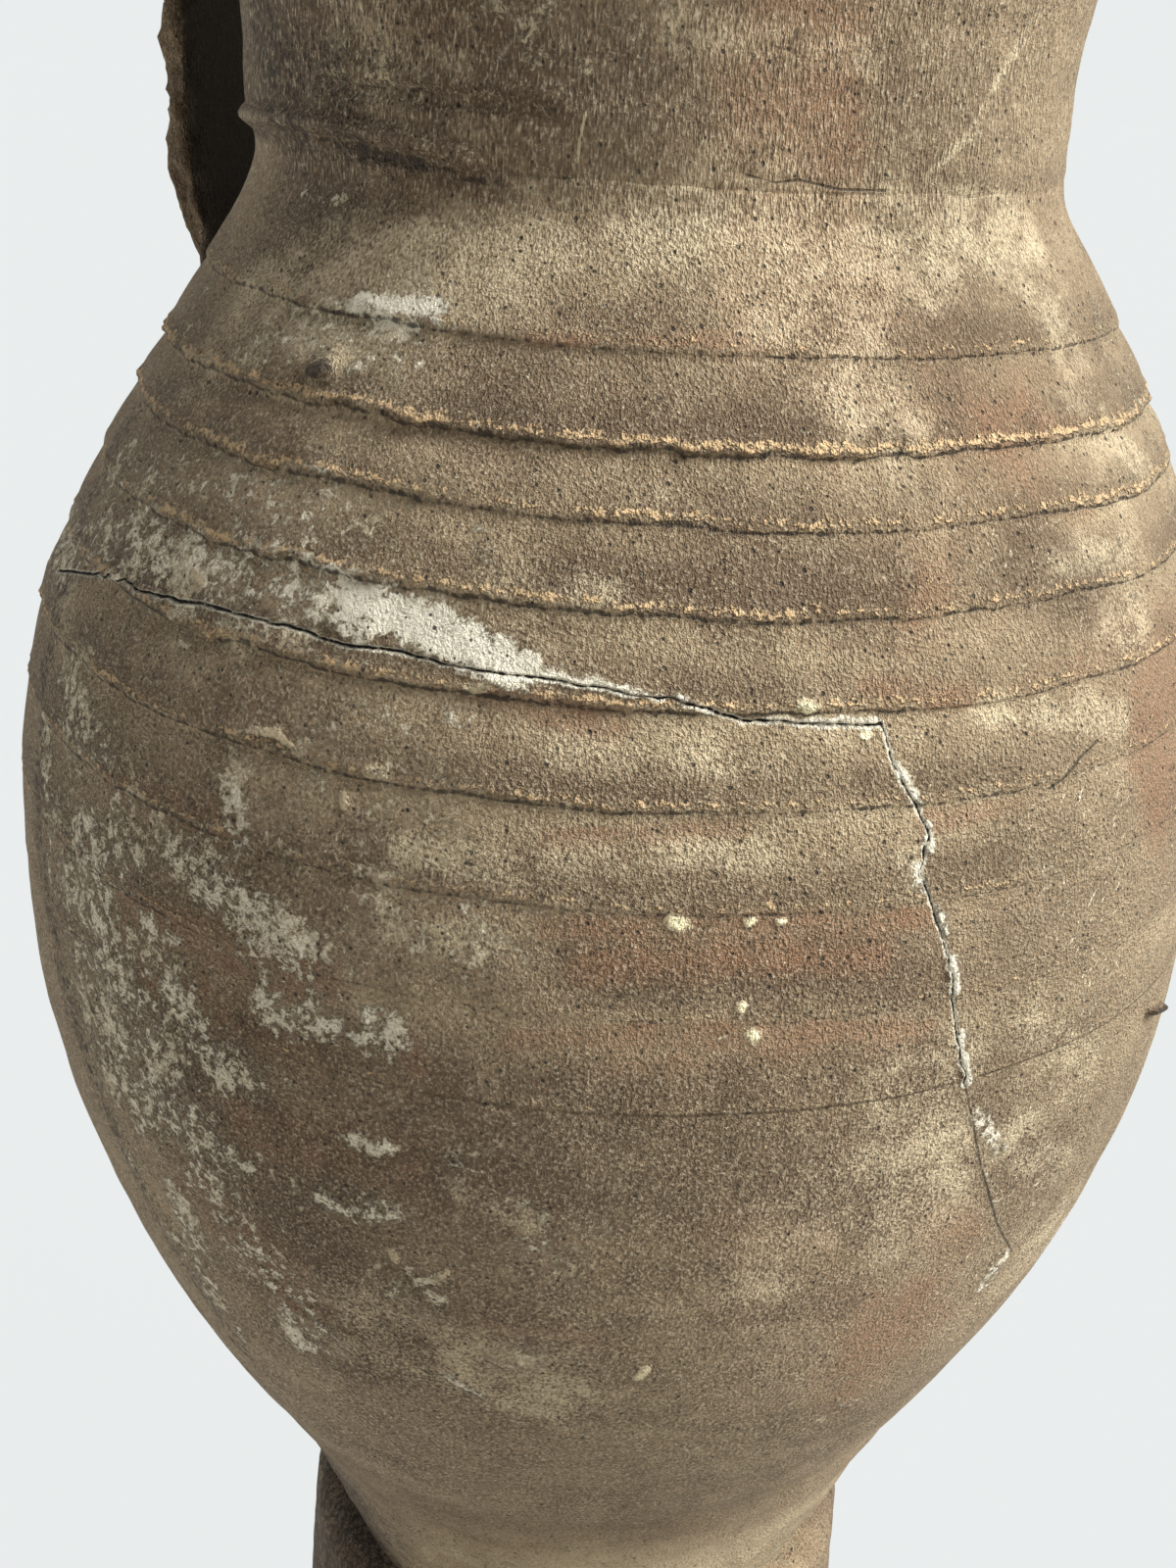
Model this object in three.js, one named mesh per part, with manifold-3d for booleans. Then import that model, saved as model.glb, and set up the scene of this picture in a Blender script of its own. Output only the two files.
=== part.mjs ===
// A stoneware jug, thrown in parts and luted together with coils of soft clay: a hollow foot,
// a bowl, a rilled shoulder, a neck with a rolled lip, and one strap handle.
// Millimetres, +Z up. The origin lies on the body's axis, on the surface that the foot stands on.
// The handle is on the -X side.

import * as THREE from 'three';
import { mergeVertices } from 'three/addons/utils/BufferGeometryUtils.js';
import Module from 'manifold-3d';

const wasm = await Module();
wasm.setup();

// Joints: the slip-thin gap between luted pieces, and the height of the lapped rims
const JOINT_GAP = 0.3;
const LAP_HEIGHT = 6;

// Foot: a drum-like rim below, a waist, and a stem that opens upwards as a socket for the bowl
const FOOT_RIM_HEIGHT = 48;
const FOOT_RIM_STEP = 6;
const FOOT_RIM_ROUND = 7;
const FOOT_FLARE = 1.5;
const FOOT_RING_WIDTH = 12;
const FOOT_EDGE = 1.5;
const WAIST_RISE = 4;
const STEM_HEIGHT = 45;
const STEM_FLARE = 17.5;
const STEM_WALL = 10;
// The foot was luted on a little to one side of the body's axis
const FOOT_OFF_CENTRE = 2.5;
const FOOT_OFF_ANGLE = THREE.MathUtils.degToRad(38);

// Lower body: a round-bottomed bowl that widens from the stem's crease to the belly
const BODY_WALL = 8;
const BOWL_DEPTH = 36;
const CREASE_RADIUS = 72;
const CREASE_SLOPE = THREE.MathUtils.degToRad(29);
const BELLY_RADIUS = 110;
const BELLY_RISE = 119;

// Upper body: a dome of rilled bands from the shoulder's edge down to the belly, and above the edge
// a hollow curve up to the neck
const BAND_HEIGHTS = [6, 12, 9, 11, 12, 13, 14, 16, 15];
const RIDGE_DEPTH = 1.7;
const RIDGE_LEDGE = 1.8;
const RIDGE_FADE = 3;
const SHOULDER_INSET = 36;
const SHOULDER_SLOPE = THREE.MathUtils.degToRad(32);
const COLLAR_INSET = 6;
const COLLAR_RISE = 14;

// Neck: a lapped skirt, a waist and a flare that ends in a rolled lip
const NECK_LENGTH = 65;
const NECK_STEP = 1.3;
const NECK_WALL = 7.5;
const NECK_WAIST_INSET = 0.7;
const NECK_FLARE = 6.4;
const LIP_RADIUS = 5.5;

// Handle: a flat strap, pressed on to the neck below its rim and on to the shoulder below its edge
const STRAP_WIDTH = 42;
const STRAP_THICKNESS = 10;
const STRAP_EDGE = 5;
const STRAP_CROWN = 1.5;
const STRAP_STANDOFF = 27;
const STRAP_TOP_DROP = 20;
const STRAP_BEND_DROP = 26;
const STRAP_RISE = 4;
const STRAP_ROOT_DROP = 28;
const STRAP_ROOT_SLOPE = THREE.MathUtils.degToRad(35);
const PAD_MARGIN = 7;
const PAD_THICKNESS = 8;
const PAD_SINK = 4;

// Luting coils: height along the wall, and how far they stand out from it
const COIL_HEIGHT = 17;
const COIL_THICKNESS = 4;
const FOOT_COIL_RADIUS = 6.5;

// Fineness of turned surfaces, curves and the strap
const TURN_STEPS = 36;
const CURVE_STEPS = 8;
const DOME_STEPS = 24;
const FLARE_STEPS = 5;
const ROUND_STEPS = 4;
const ROLL_STEPS = 8;
const WAD_SIDES = 18;
const WAD_RINGS = 12;
const STRAP_STEPS = 20;
// Share of a curve's height over which its ends hold their direction
const CURVE_PULL = 0.4;

const point = (radius, height) => new THREE.Vector2(radius, height);

// A point reached from another by going up at an angle to the axis
function climb(from, angle, distance) {
  return point(from.x + Math.sin(angle) * distance, from.y + Math.cos(angle) * distance);
}

// Shifts an outline that runs upwards: outwards for a positive distance, inwards for a negative one.
// A point on the axis stays on it.
function shiftOutline(outline, distance) {
  return outline.map((here, i) => {
    const before = outline[Math.max(i - 1, 0)];
    const after = outline[Math.min(i + 1, outline.length - 1)];
    const along = here.x === 0 ? point(1, 0) : after.clone().sub(before).normalize();
    return point(here.x + along.y * distance, here.y - along.x * distance);
  });
}

// The outline's radius at a height: its end stretches run on straight
function radiusAt(outline, height) {
  const passed = outline.slice(1, -1).filter((p) => p.y < height).length;
  const low = outline[passed];
  const high = outline[passed + 1];
  return THREE.MathUtils.mapLinear(height, low.y, high.y, low.x, high.x);
}

// The stretch of an outline between two heights, with its ends cut level
function stretch(outline, low, high) {
  const inside = outline.filter((p) => p.y > low && p.y < high);
  return [point(radiusAt(outline, low), low), ...inside, point(radiusAt(outline, high), high)];
}

// An arc from one angle to another, about a centre
function round(centre, radius, fromAngle, toAngle, steps) {
  return Array.from({ length: steps + 1 }, (_, i) => {
    const angle = THREE.MathUtils.lerp(fromAngle, toAngle, i / steps);
    return point(centre.x + radius * Math.cos(angle), centre.y + radius * Math.sin(angle));
  });
}

// Shared vertices only, without the empty triangles that a pole leaves
function weld(geometry) {
  geometry.deleteAttribute('normal');
  geometry.deleteAttribute('uv');
  const welded = mergeVertices(geometry);
  const corners = [];
  for (let i = 0; i < welded.index.count; i += 3) {
    const triangle = [0, 1, 2].map((corner) => welded.index.getX(i + corner));
    if (new Set(triangle).size === 3) {
      corners.push(...triangle);
    }
  }
  welded.setIndex(corners);
  return welded;
}

// Turns an outline about the vertical axis: it starts and ends on the axis, or closes on itself
function turn(outline) {
  return weld(new THREE.LatheGeometry(outline, TURN_STEPS).rotateX(Math.PI / 2));
}

function turnRing(outline) {
  return turn([...outline, outline[0]]);
}

function toSolid(geometry) {
  return new wasm.Manifold(new wasm.Mesh({
    numProp: 3,
    vertProperties: new Float32Array(geometry.attributes.position.array),
    triVerts: new Uint32Array(geometry.index.array),
  }));
}

function cut(geometry, ...tools) {
  const solid = tools.reduce((rest, tool) => rest.subtract(toSolid(tool)), toSolid(geometry));
  const mesh = solid.getMesh();
  const result = new THREE.BufferGeometry();
  result.setAttribute('position', new THREE.BufferAttribute(mesh.vertProperties, 3));
  result.setIndex(new THREE.BufferAttribute(mesh.triVerts, 1));
  return result;
}

// Where the outlines of the walls meet, from the foot up to the rim

const waist = point(CREASE_RADIUS - STEM_FLARE, FOOT_RIM_HEIGHT + WAIST_RISE);
const crease = point(CREASE_RADIUS, waist.y + STEM_HEIGHT);
const bowlBase = point(0, crease.y - BOWL_DEPTH);
const belly = point(BELLY_RADIUS, crease.y + BELLY_RISE);
const domeRise = BAND_HEIGHTS.reduce((rise, band) => rise + band);
const shoulderEdge = point(belly.x - SHOULDER_INSET, belly.y + domeRise);
const collarTop = point(shoulderEdge.x - COLLAR_INSET, shoulderEdge.y + COLLAR_RISE);
const skirtRadius = collarTop.x + NECK_STEP;
const neckWaistRadius = skirtRadius - NECK_WAIST_INSET;
const flareRadius = neckWaistRadius + NECK_FLARE;
const rimHeight = collarTop.y + NECK_LENGTH;

// Outlines of the walls, outside and inside

const bowlBottom = new THREE.CubicBezierCurve(
  bowlBase,
  point(THREE.MathUtils.lerp(crease.x, bowlBase.x, CURVE_PULL), bowlBase.y),
  climb(crease, CREASE_SLOPE, -BOWL_DEPTH * CURVE_PULL),
  crease,
);
const bowlSide = new THREE.CubicBezierCurve(
  crease,
  climb(crease, CREASE_SLOPE, BELLY_RISE * CURVE_PULL),
  point(belly.x, belly.y - BELLY_RISE * CURVE_PULL),
  belly,
);
const bowlOutside = [...bowlBottom.getPoints(CURVE_STEPS), ...bowlSide.getPoints(CURVE_STEPS).slice(1)];
const bowlInside = shiftOutline(bowlOutside, -BODY_WALL);

const domeCurve = new THREE.CubicBezierCurve(
  belly,
  point(belly.x, belly.y + domeRise * CURVE_PULL),
  climb(shoulderEdge, -SHOULDER_SLOPE, -domeRise * CURVE_PULL),
  shoulderEdge,
);
const dome = domeCurve.getPoints(DOME_STEPS);
const collarCorner = climb(shoulderEdge, -SHOULDER_SLOPE, COLLAR_INSET / Math.sin(SHOULDER_SLOPE));
const collar = new THREE.QuadraticBezierCurve(shoulderEdge, collarCorner, collarTop).getPoints(ROUND_STEPS);
const shoulderInside = shiftOutline([...domeCurve.getPoints(CURVE_STEPS), ...collar.slice(1)], -BODY_WALL);

// Each band of rilling swells out downwards to a ridge, below which the wall steps in again.
// The ridges grow faint towards the belly, and the last band runs out at the joint.
function rilledDome() {
  const ridged = BAND_HEIGHTS.slice(0, -1);
  const outline = [shoulderEdge];
  let bandTop = shoulderEdge.y;
  let ridge = shoulderEdge.y;
  ridged.forEach((band, i) => {
    ridge -= band;
    const depth = RIDGE_DEPTH * Math.min(1, (ridged.length - i) / RIDGE_FADE);
    const swell = (bandTop + ridge) / 2;
    const foot = ridge - RIDGE_LEDGE;
    outline.unshift(point(radiusAt(dome, swell), swell));
    outline.unshift(point(radiusAt(dome, ridge), ridge));
    outline.unshift(point(radiusAt(dome, foot) - depth, foot));
    bandTop = foot;
  });
  const lastSwell = (bandTop + belly.y) / 2;
  outline.unshift(point(radiusAt(dome, lastSwell), lastSwell));
  outline.unshift(point(belly.x, belly.y + JOINT_GAP));
  return outline;
}
const shoulderOutside = [...rilledDome(), ...collar.slice(1)];

const lipCentre = point(flareRadius - LIP_RADIUS / 2, rimHeight - LIP_RADIUS);
const neckFlare = new THREE.CubicBezierCurve(
  point(neckWaistRadius, collarTop.y + LAP_HEIGHT * 2),
  point(neckWaistRadius, collarTop.y + NECK_LENGTH * CURVE_PULL),
  point(lipCentre.x, rimHeight - NECK_LENGTH * CURVE_PULL),
  point(flareRadius, rimHeight - LIP_RADIUS * 2),
).getPoints(FLARE_STEPS);
const neckOutside = [
  point(skirtRadius, collarTop.y + JOINT_GAP),
  point(skirtRadius, collarTop.y + LAP_HEIGHT / 2),
  ...neckFlare,
];
const neckInside = shiftOutline(neckFlare, -NECK_WALL);
const lip = round(lipCentre, LIP_RADIUS, -Math.PI / 4, Math.PI, ROLL_STEPS);

// The whole outside as one plain body, grown by the joint gap, to shape what is pressed on to it
const outsideGrown = shiftOutline([...shoulderOutside, ...neckOutside, ...lip], JOINT_GAP);
const outsideBlank = turn([
  point(0, outsideGrown[0].y),
  ...outsideGrown,
  point(0, outsideGrown.at(-1).y),
]);
const bowlGrown = shiftOutline(bowlOutside, JOINT_GAP);
const bowlBlank = turn([...bowlGrown, point(0, bowlGrown.at(-1).y)]);

// Foot

const stemTop = climb(crease, Math.atan2(STEM_FLARE, STEM_HEIGHT), STEM_WALL * 2);
const footRimRadius = waist.x + FOOT_RIM_STEP;
const footRadius = footRimRadius + FOOT_FLARE;
const footRimCentre = point(footRimRadius - FOOT_RIM_ROUND, FOOT_RIM_HEIGHT - FOOT_RIM_ROUND);
const footOutside = [
  point(footRadius - FOOT_EDGE, 0),
  point(footRadius, FOOT_EDGE),
  ...round(footRimCentre, FOOT_RIM_ROUND, 0, Math.PI / 2, ROUND_STEPS),
  waist,
  stemTop,
];
const stemInside = shiftOutline([waist, stemTop], -STEM_WALL);
const footInside = [
  point(footRadius - FOOT_RING_WIDTH, 0),
  point(footRadius - FOOT_RING_WIDTH - FOOT_EDGE, FOOT_EDGE),
  ...stemInside,
];
const footShift = [
  FOOT_OFF_CENTRE * Math.cos(FOOT_OFF_ANGLE),
  FOOT_OFF_CENTRE * Math.sin(FOOT_OFF_ANGLE),
  0,
];
const footBlank = turnRing([...footOutside, ...footInside.toReversed()]).translate(...footShift);
const foot = cut(footBlank, bowlBlank);
const footTool = turnRing([...footOutside, ...shiftOutline(footInside, -JOINT_GAP).toReversed()]);
const seat = bowlOutside.find((p) => p.y > waist.y && p.x >= radiusAt(stemInside, p.y));
const footCoilCentre = point(
  radiusAt(stemInside, seat.y) - FOOT_COIL_RADIUS / 2,
  seat.y - FOOT_COIL_RADIUS / 2,
);
const footCoil = cut(
  turn(round(footCoilCentre, FOOT_COIL_RADIUS, 0, Math.PI * 2, ROLL_STEPS)).translate(...footShift),
  footTool.translate(...footShift),
  bowlBlank,
);

// Lower body, with a tongue round its rim for the upper body to lap over

const rimMiddle = belly.x - BODY_WALL / 2;
const rimInside = belly.x - BODY_WALL;
const lowerBody = turn([
  ...bowlOutside,
  point(rimMiddle, belly.y),
  point(rimMiddle, belly.y + LAP_HEIGHT),
  point(rimInside, belly.y + LAP_HEIGHT),
  ...bowlInside.toReversed(),
]);

// Upper body, rebated below for the bowl's tongue and with a tongue of its own for the neck

const girthShelf = belly.y + LAP_HEIGHT + JOINT_GAP;
const shoulderWall = stretch(shoulderInside, girthShelf, collarTop.y);
const collarMiddle = collarTop.x - BODY_WALL / 2;
const collarInside = collarTop.x - BODY_WALL;
const upperBody = turnRing([
  ...shoulderOutside,
  point(collarMiddle, collarTop.y),
  point(collarMiddle, collarTop.y + LAP_HEIGHT),
  point(collarInside, collarTop.y + LAP_HEIGHT),
  ...shoulderWall.toReversed(),
  point(rimMiddle + JOINT_GAP, girthShelf),
  point(rimMiddle + JOINT_GAP, belly.y + JOINT_GAP),
]);

// Neck

const neckShelf = collarTop.y + LAP_HEIGHT + JOINT_GAP;
const neckWall = [point(neckInside[0].x, neckShelf), ...neckInside];
const neck = turnRing([
  ...neckOutside,
  ...lip,
  ...neckWall.toReversed(),
  point(collarMiddle + JOINT_GAP, neckShelf),
  point(collarMiddle + JOINT_GAP, collarTop.y + JOINT_GAP),
]);

// Coils smeared over the joints inside the jug

function coil(wall, middle) {
  const low = middle - COIL_HEIGHT / 2;
  const high = middle + COIL_HEIGHT / 2;
  const back = shiftOutline(stretch(wall, low, high), -JOINT_GAP);
  const front = [];
  for (let i = 1; i < ROUND_STEPS; i += 1) {
    const share = i / ROUND_STEPS;
    const height = THREE.MathUtils.lerp(high, low, share);
    front.push(point(radiusAt(back, height) - COIL_THICKNESS * Math.sin(Math.PI * share), height));
  }
  return turnRing([...back, ...front]);
}
const girthCoil = coil([...bowlInside, ...shoulderWall], belly.y + LAP_HEIGHT / 2);
const tongueTop = point(collarInside, collarTop.y + LAP_HEIGHT);
const neckCoil = coil([...shoulderWall, tongueTop, ...neckWall], collarTop.y + LAP_HEIGHT / 2);

// Handle: the strap's middle line runs out from the neck, over a bend and down to the shoulder

const onHandleSide = ({ x: radius, y: height }) => new THREE.Vector3(-radius, 0, height);
const strapTopHeight = rimHeight - STRAP_TOP_DROP;
const strapRootHeight = shoulderEdge.y - STRAP_ROOT_DROP;
const strapTop = point(radiusAt(neckOutside, strapTopHeight), strapTopHeight);
const strapBend = point(flareRadius + STRAP_STANDOFF, strapTopHeight - STRAP_BEND_DROP);
const strapRoot = point(radiusAt(shoulderOutside, strapRootHeight), strapRootHeight);
const strapRoute = new THREE.CurvePath();
strapRoute.add(new THREE.CubicBezierCurve3(
  ...[
    point(strapTop.x - STRAP_THICKNESS / 2, strapTop.y),
    point(strapBend.x - STRAP_THICKNESS, strapTop.y + STRAP_RISE),
    point(strapBend.x, strapTop.y + STRAP_RISE),
    strapBend,
  ].map(onHandleSide),
));
strapRoute.add(new THREE.CubicBezierCurve3(
  ...[
    strapBend,
    point(strapBend.x, THREE.MathUtils.lerp(strapBend.y, strapRoot.y, CURVE_PULL)),
    climb(strapRoot, STRAP_ROOT_SLOPE, (strapBend.y - strapRoot.y) * CURVE_PULL),
    climb(strapRoot, STRAP_ROOT_SLOPE, -STRAP_THICKNESS),
  ].map(onHandleSide),
));

// A flat underside, rounded edges and a slightly crowned back
function strap(grown) {
  const side = STRAP_WIDTH / 2 + grown;
  const face = STRAP_THICKNESS / 2 + grown;
  const flat = STRAP_WIDTH / 2 - STRAP_EDGE;
  const section = new THREE.Shape();
  section.moveTo(-flat, -face);
  section.lineTo(flat, -face);
  section.quadraticCurveTo(side, -face, side, 0);
  section.quadraticCurveTo(side, face, flat, face);
  section.quadraticCurveTo(0, face + STRAP_CROWN * 2, -flat, face);
  section.quadraticCurveTo(-side, face, -side, 0);
  section.quadraticCurveTo(-side, -face, -flat, -face);
  return weld(new THREE.ExtrudeGeometry(section, {
    extrudePath: strapRoute,
    steps: STRAP_STEPS,
    curveSegments: ROUND_STEPS,
    bevelEnabled: false,
  }));
}
const handleStrap = cut(strap(0), outsideBlank);

// A wad of clay round the strap's end, flattened against the wall that leans by the given angle
function pad(centre, lean) {
  const wad = new THREE.SphereGeometry(1, WAD_SIDES, WAD_RINGS);
  wad.scale(PAD_THICKNESS + PAD_SINK, STRAP_WIDTH / 2 + PAD_MARGIN, STRAP_THICKNESS / 2 + PAD_MARGIN);
  wad.translate(PAD_SINK, 0, 0);
  wad.rotateY(lean);
  wad.translate(...onHandleSide(centre));
  return cut(weld(wad), outsideBlank, strap(JOINT_GAP));
}
const handleUpperPad = pad(strapTop, 0);
const handleLowerPad = pad(strapRoot, SHOULDER_SLOPE);

// The jug

const clay = (color, roughness) => new THREE.MeshStandardMaterial({ color, roughness, metalness: 0 });
const bodyClay = clay(0x7b6a5b, 0.9);
const footClay = clay(0x86725f, 0.92);
const neckClay = clay(0x82705d, 0.9);
const handleClay = clay(0x5f5246, 0.92);
const lutingClay = clay(0x6d5d50, 0.95);

const pieces = {
  foot: [foot, footClay],
  foot_coil: [footCoil, lutingClay],
  lower_body: [lowerBody, bodyClay],
  girth_coil: [girthCoil, lutingClay],
  upper_body: [upperBody, bodyClay],
  neck_coil: [neckCoil, lutingClay],
  neck: [neck, neckClay],
  handle_strap: [handleStrap, handleClay],
  handle_upper_pad: [handleUpperPad, handleClay],
  handle_lower_pad: [handleLowerPad, handleClay],
};

const jug = new THREE.Group();
for (const [name, [geometry, material]] of Object.entries(pieces)) {
  geometry.computeVertexNormals();
  const mesh = new THREE.Mesh(geometry, material);
  mesh.name = name;
  jug.add(mesh);
}

export default jug;
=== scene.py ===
from math import cos, pi, radians, sin, tan

import bmesh
import bpy
import numpy as np
from mathutils import Matrix, Vector


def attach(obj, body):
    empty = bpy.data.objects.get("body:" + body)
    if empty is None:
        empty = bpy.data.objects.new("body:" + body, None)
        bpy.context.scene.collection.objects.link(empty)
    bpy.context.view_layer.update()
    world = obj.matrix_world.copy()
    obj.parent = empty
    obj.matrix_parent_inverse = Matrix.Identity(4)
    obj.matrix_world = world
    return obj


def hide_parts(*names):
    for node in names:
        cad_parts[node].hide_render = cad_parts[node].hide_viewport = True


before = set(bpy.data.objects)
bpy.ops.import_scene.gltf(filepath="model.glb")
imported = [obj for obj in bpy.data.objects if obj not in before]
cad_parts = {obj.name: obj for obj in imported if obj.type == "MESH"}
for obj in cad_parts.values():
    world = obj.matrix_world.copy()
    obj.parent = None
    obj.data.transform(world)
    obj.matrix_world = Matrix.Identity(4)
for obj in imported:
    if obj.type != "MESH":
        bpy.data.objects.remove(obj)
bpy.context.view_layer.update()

# Camera: held by hand a little above the shoulder, looking down at the belly, and turned a little.
# Lengths are in millimetres until a mesh or an object is made.
MM = 0.001
IMAGE_WIDTH = 1200
IMAGE_HEIGHT = 1600
FOCAL_PIXELS = 1850
CAMERA_AZIMUTH = radians(-52)
CAMERA_DISTANCE = 328
CAMERA_HEIGHT = 361
CAMERA_PITCH = radians(23.46)
CAMERA_YAW = radians(-0.8)
CAMERA_ROLL = radians(3.6)
SENSOR = 36

heading = CAMERA_AZIMUTH + pi - CAMERA_YAW
forward = Vector((cos(heading) * cos(CAMERA_PITCH), sin(heading) * cos(CAMERA_PITCH), -sin(CAMERA_PITCH)))
level = Vector((sin(heading), -cos(heading), 0))
upright = level.cross(forward)
right = level * cos(CAMERA_ROLL) + upright * sin(CAMERA_ROLL)
up = upright * cos(CAMERA_ROLL) - level * sin(CAMERA_ROLL)
eye = Vector((CAMERA_DISTANCE * cos(CAMERA_AZIMUTH), CAMERA_DISTANCE * sin(CAMERA_AZIMUTH), CAMERA_HEIGHT))

camera_data = bpy.data.cameras.new("camera")
camera_data.sensor_width = SENSOR
camera_data.lens = SENSOR * FOCAL_PIXELS / IMAGE_HEIGHT
camera_data.clip_start = 0.01
camera = bpy.data.objects.new("camera", camera_data)
camera.matrix_world = Matrix.Translation(eye * MM) @ Matrix((right, up, -forward)).transposed().to_4x4()
bpy.context.collection.objects.link(camera)
bpy.context.scene.camera = camera

# Foot: a thick ring thrown by itself, with a drum-like rim, a waist and a stem that opens upwards.
# Its socket was wetted with slip, luted to the bowl a little off the axis, and smeared smooth over the joint.
FOOT_STEPS = 400
FOOT_RIM_HEIGHT = 48
FOOT_RADIUS = 62
FOOT_RIM_RADIUS = 60.5
FOOT_RIM_ROUND = 7
FOOT_RING_RADIUS = 50
FOOT_EDGE = 1.5
WAIST = (54.5, 52)
CREASE = (72, 97)
STEM_WALL = 10
FOOT_SHIFT = np.array((1.97, 1.54))
BELLY = (110, 216)
BOWL_BOTTOM = 61
CREASE_SLOPE = radians(29)
CURVE_PULL = 0.4
JOINT_GAP = 0.3
LAP_HEIGHT = 6
BODY_WALL = 8
SECTORS = 8
SMEAR = 0.05
STEM_OVERLAP = 12
FILLET = 1.6
FULL_HEIGHTS = [97, 112, 135, 165]
FULL = [0, 1.6, 1.2, 0]


def bezier(a, b, c, d, steps):
    t = np.linspace(0, 1, steps + 1)[:, None]
    a, b, c, d = (np.array(p, float) for p in (a, b, c, d))
    return (1 - t) ** 3 * a + 3 * t * (1 - t) ** 2 * b + 3 * t ** 2 * (1 - t) * c + t ** 3 * d


def climb(start, angle, distance):
    """The point reached by going up from another at an angle to the axis."""
    return (start[0] + sin(angle) * distance, start[1] + cos(angle) * distance)


def arc(centre, radius, start, end, steps):
    angles = np.linspace(start, end, steps + 1)
    return np.column_stack((centre[0] + radius * np.cos(angles), centre[1] + radius * np.sin(angles)))


def resample(outline, spacing):
    """The same outline with a point at least every so many millimetres."""
    outline = np.array(outline, float)
    points = [outline[:1]]
    for start, end in zip(outline, outline[1:]):
        steps = max(1, int(np.ceil(np.hypot(*(end - start)) / spacing)))
        points.append(start + (end - start) * (np.arange(1, steps + 1) / steps)[:, None])
    return np.vstack(points)


def shifted(outline, distance):
    """An outline that runs upwards, moved outwards by a distance."""
    along = np.gradient(np.array(outline, float), axis=0)
    along /= np.hypot(along[:, 0], along[:, 1])[:, None]
    return outline + distance * np.column_stack((along[:, 1], -along[:, 0]))


def turned(outline, steps, closed=True):
    """A piece turned about the upright axis, sector by sector, from its outline of radius and height."""
    bm = bmesh.new()
    verts = [bm.verts.new((radius, 0, height)) for radius, height in outline]
    for low, high in zip(verts, verts[1:]):
        bm.edges.new((low, high))
    if closed:
        bm.edges.new((verts[-1], verts[0]))
    bmesh.ops.spin(
        bm, geom=bm.verts[:] + bm.edges[:], cent=(0, 0, 0), axis=(0, 0, 1), angle=2 * pi / SECTORS,
        steps=steps // SECTORS,
    )
    sector = bm.verts[:] + bm.edges[:] + bm.faces[:]
    for i in range(1, SECTORS):
        copied = bmesh.ops.duplicate(bm, geom=sector)["geom"]
        moved = [g for g in copied if isinstance(g, bmesh.types.BMVert)]
        bmesh.ops.rotate(bm, matrix=Matrix.Rotation(2 * pi * i / SECTORS, 3, "Z"), verts=moved)
    bmesh.ops.remove_doubles(bm, verts=bm.verts, dist=0.01)
    bmesh.ops.recalc_face_normals(bm, faces=bm.faces)
    bm.verts.index_update()
    return bm


def points_of(bm):
    return np.array([v.co[:] for v in bm.verts])


def place(bm, points):
    for vert, point in zip(bm.verts, points.tolist()):
        vert.co = point


def rough(points, size, octaves=1, seed=0):
    """Smooth noise between -1 and 1, with lumps of the given size, and smaller ones for each octave."""
    total = np.zeros(len(points))
    for octave in range(octaves):
        spot = np.asarray(points) * (2 ** octave / size) + 7.31 * seed + 100
        cell = np.floor(spot).astype(np.int64)
        share = spot - cell
        share = share * share * (3 - 2 * share)
        for corner in np.ndindex(2, 2, 2):
            mixed = (cell + corner) @ np.array((374761393, 668265263, 2147483647)) & 0xFFFFFFFF
            mixed = (mixed ^ (mixed >> 13)) * 1274126177 & 0xFFFFFFFF
            value = ((mixed ^ (mixed >> 16)) & 0xFFFF) / 32767.5 - 1
            total += 0.5 ** octave * value * np.prod(np.where(corner, share, 1 - share), axis=1)
    return total


def push_out(points, distance, centre=(0, 0)):
    """Moves points away from an upright axis."""
    offset = points[:, :2] - centre
    radius = np.maximum(np.hypot(offset[:, 0], offset[:, 1]), 1e-6)
    moved = points.copy()
    moved[:, :2] += offset / radius[:, None] * distance[:, None]
    return moved


def turn_from_front(points):
    """Angle of each point round the jug from the side that the camera sees, growing to the right."""
    return np.arctan2(points[:, 1], points[:, 0]) - CAMERA_AZIMUTH


def unevenness(points):
    """How far hand-thrown clay stands out from a true turned surface."""
    return 0.8 * rough(points, 60, 2) + 0.18 * rough(points, 8, 2, 5)


def finish_piece(name, bm, fields, material, slot, *nodes):
    """Makes the mesh object in metres, with its fields as point attributes."""
    bmesh.ops.scale(bm, vec=(MM, MM, MM), verts=bm.verts)
    mesh = bpy.data.meshes.new(name)
    bm.to_mesh(mesh)
    bm.free()
    mesh.shade_smooth()
    for field, values in fields.items():
        attribute = mesh.attributes.new(field, "FLOAT", "POINT")
        attribute.data.foreach_set("value", np.asarray(values, np.float32))
    mesh.materials.append(material)
    piece = bpy.data.objects.new(name, mesh)
    bpy.context.collection.objects.link(piece)
    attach(piece, "root")
    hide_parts(*nodes)


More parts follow.
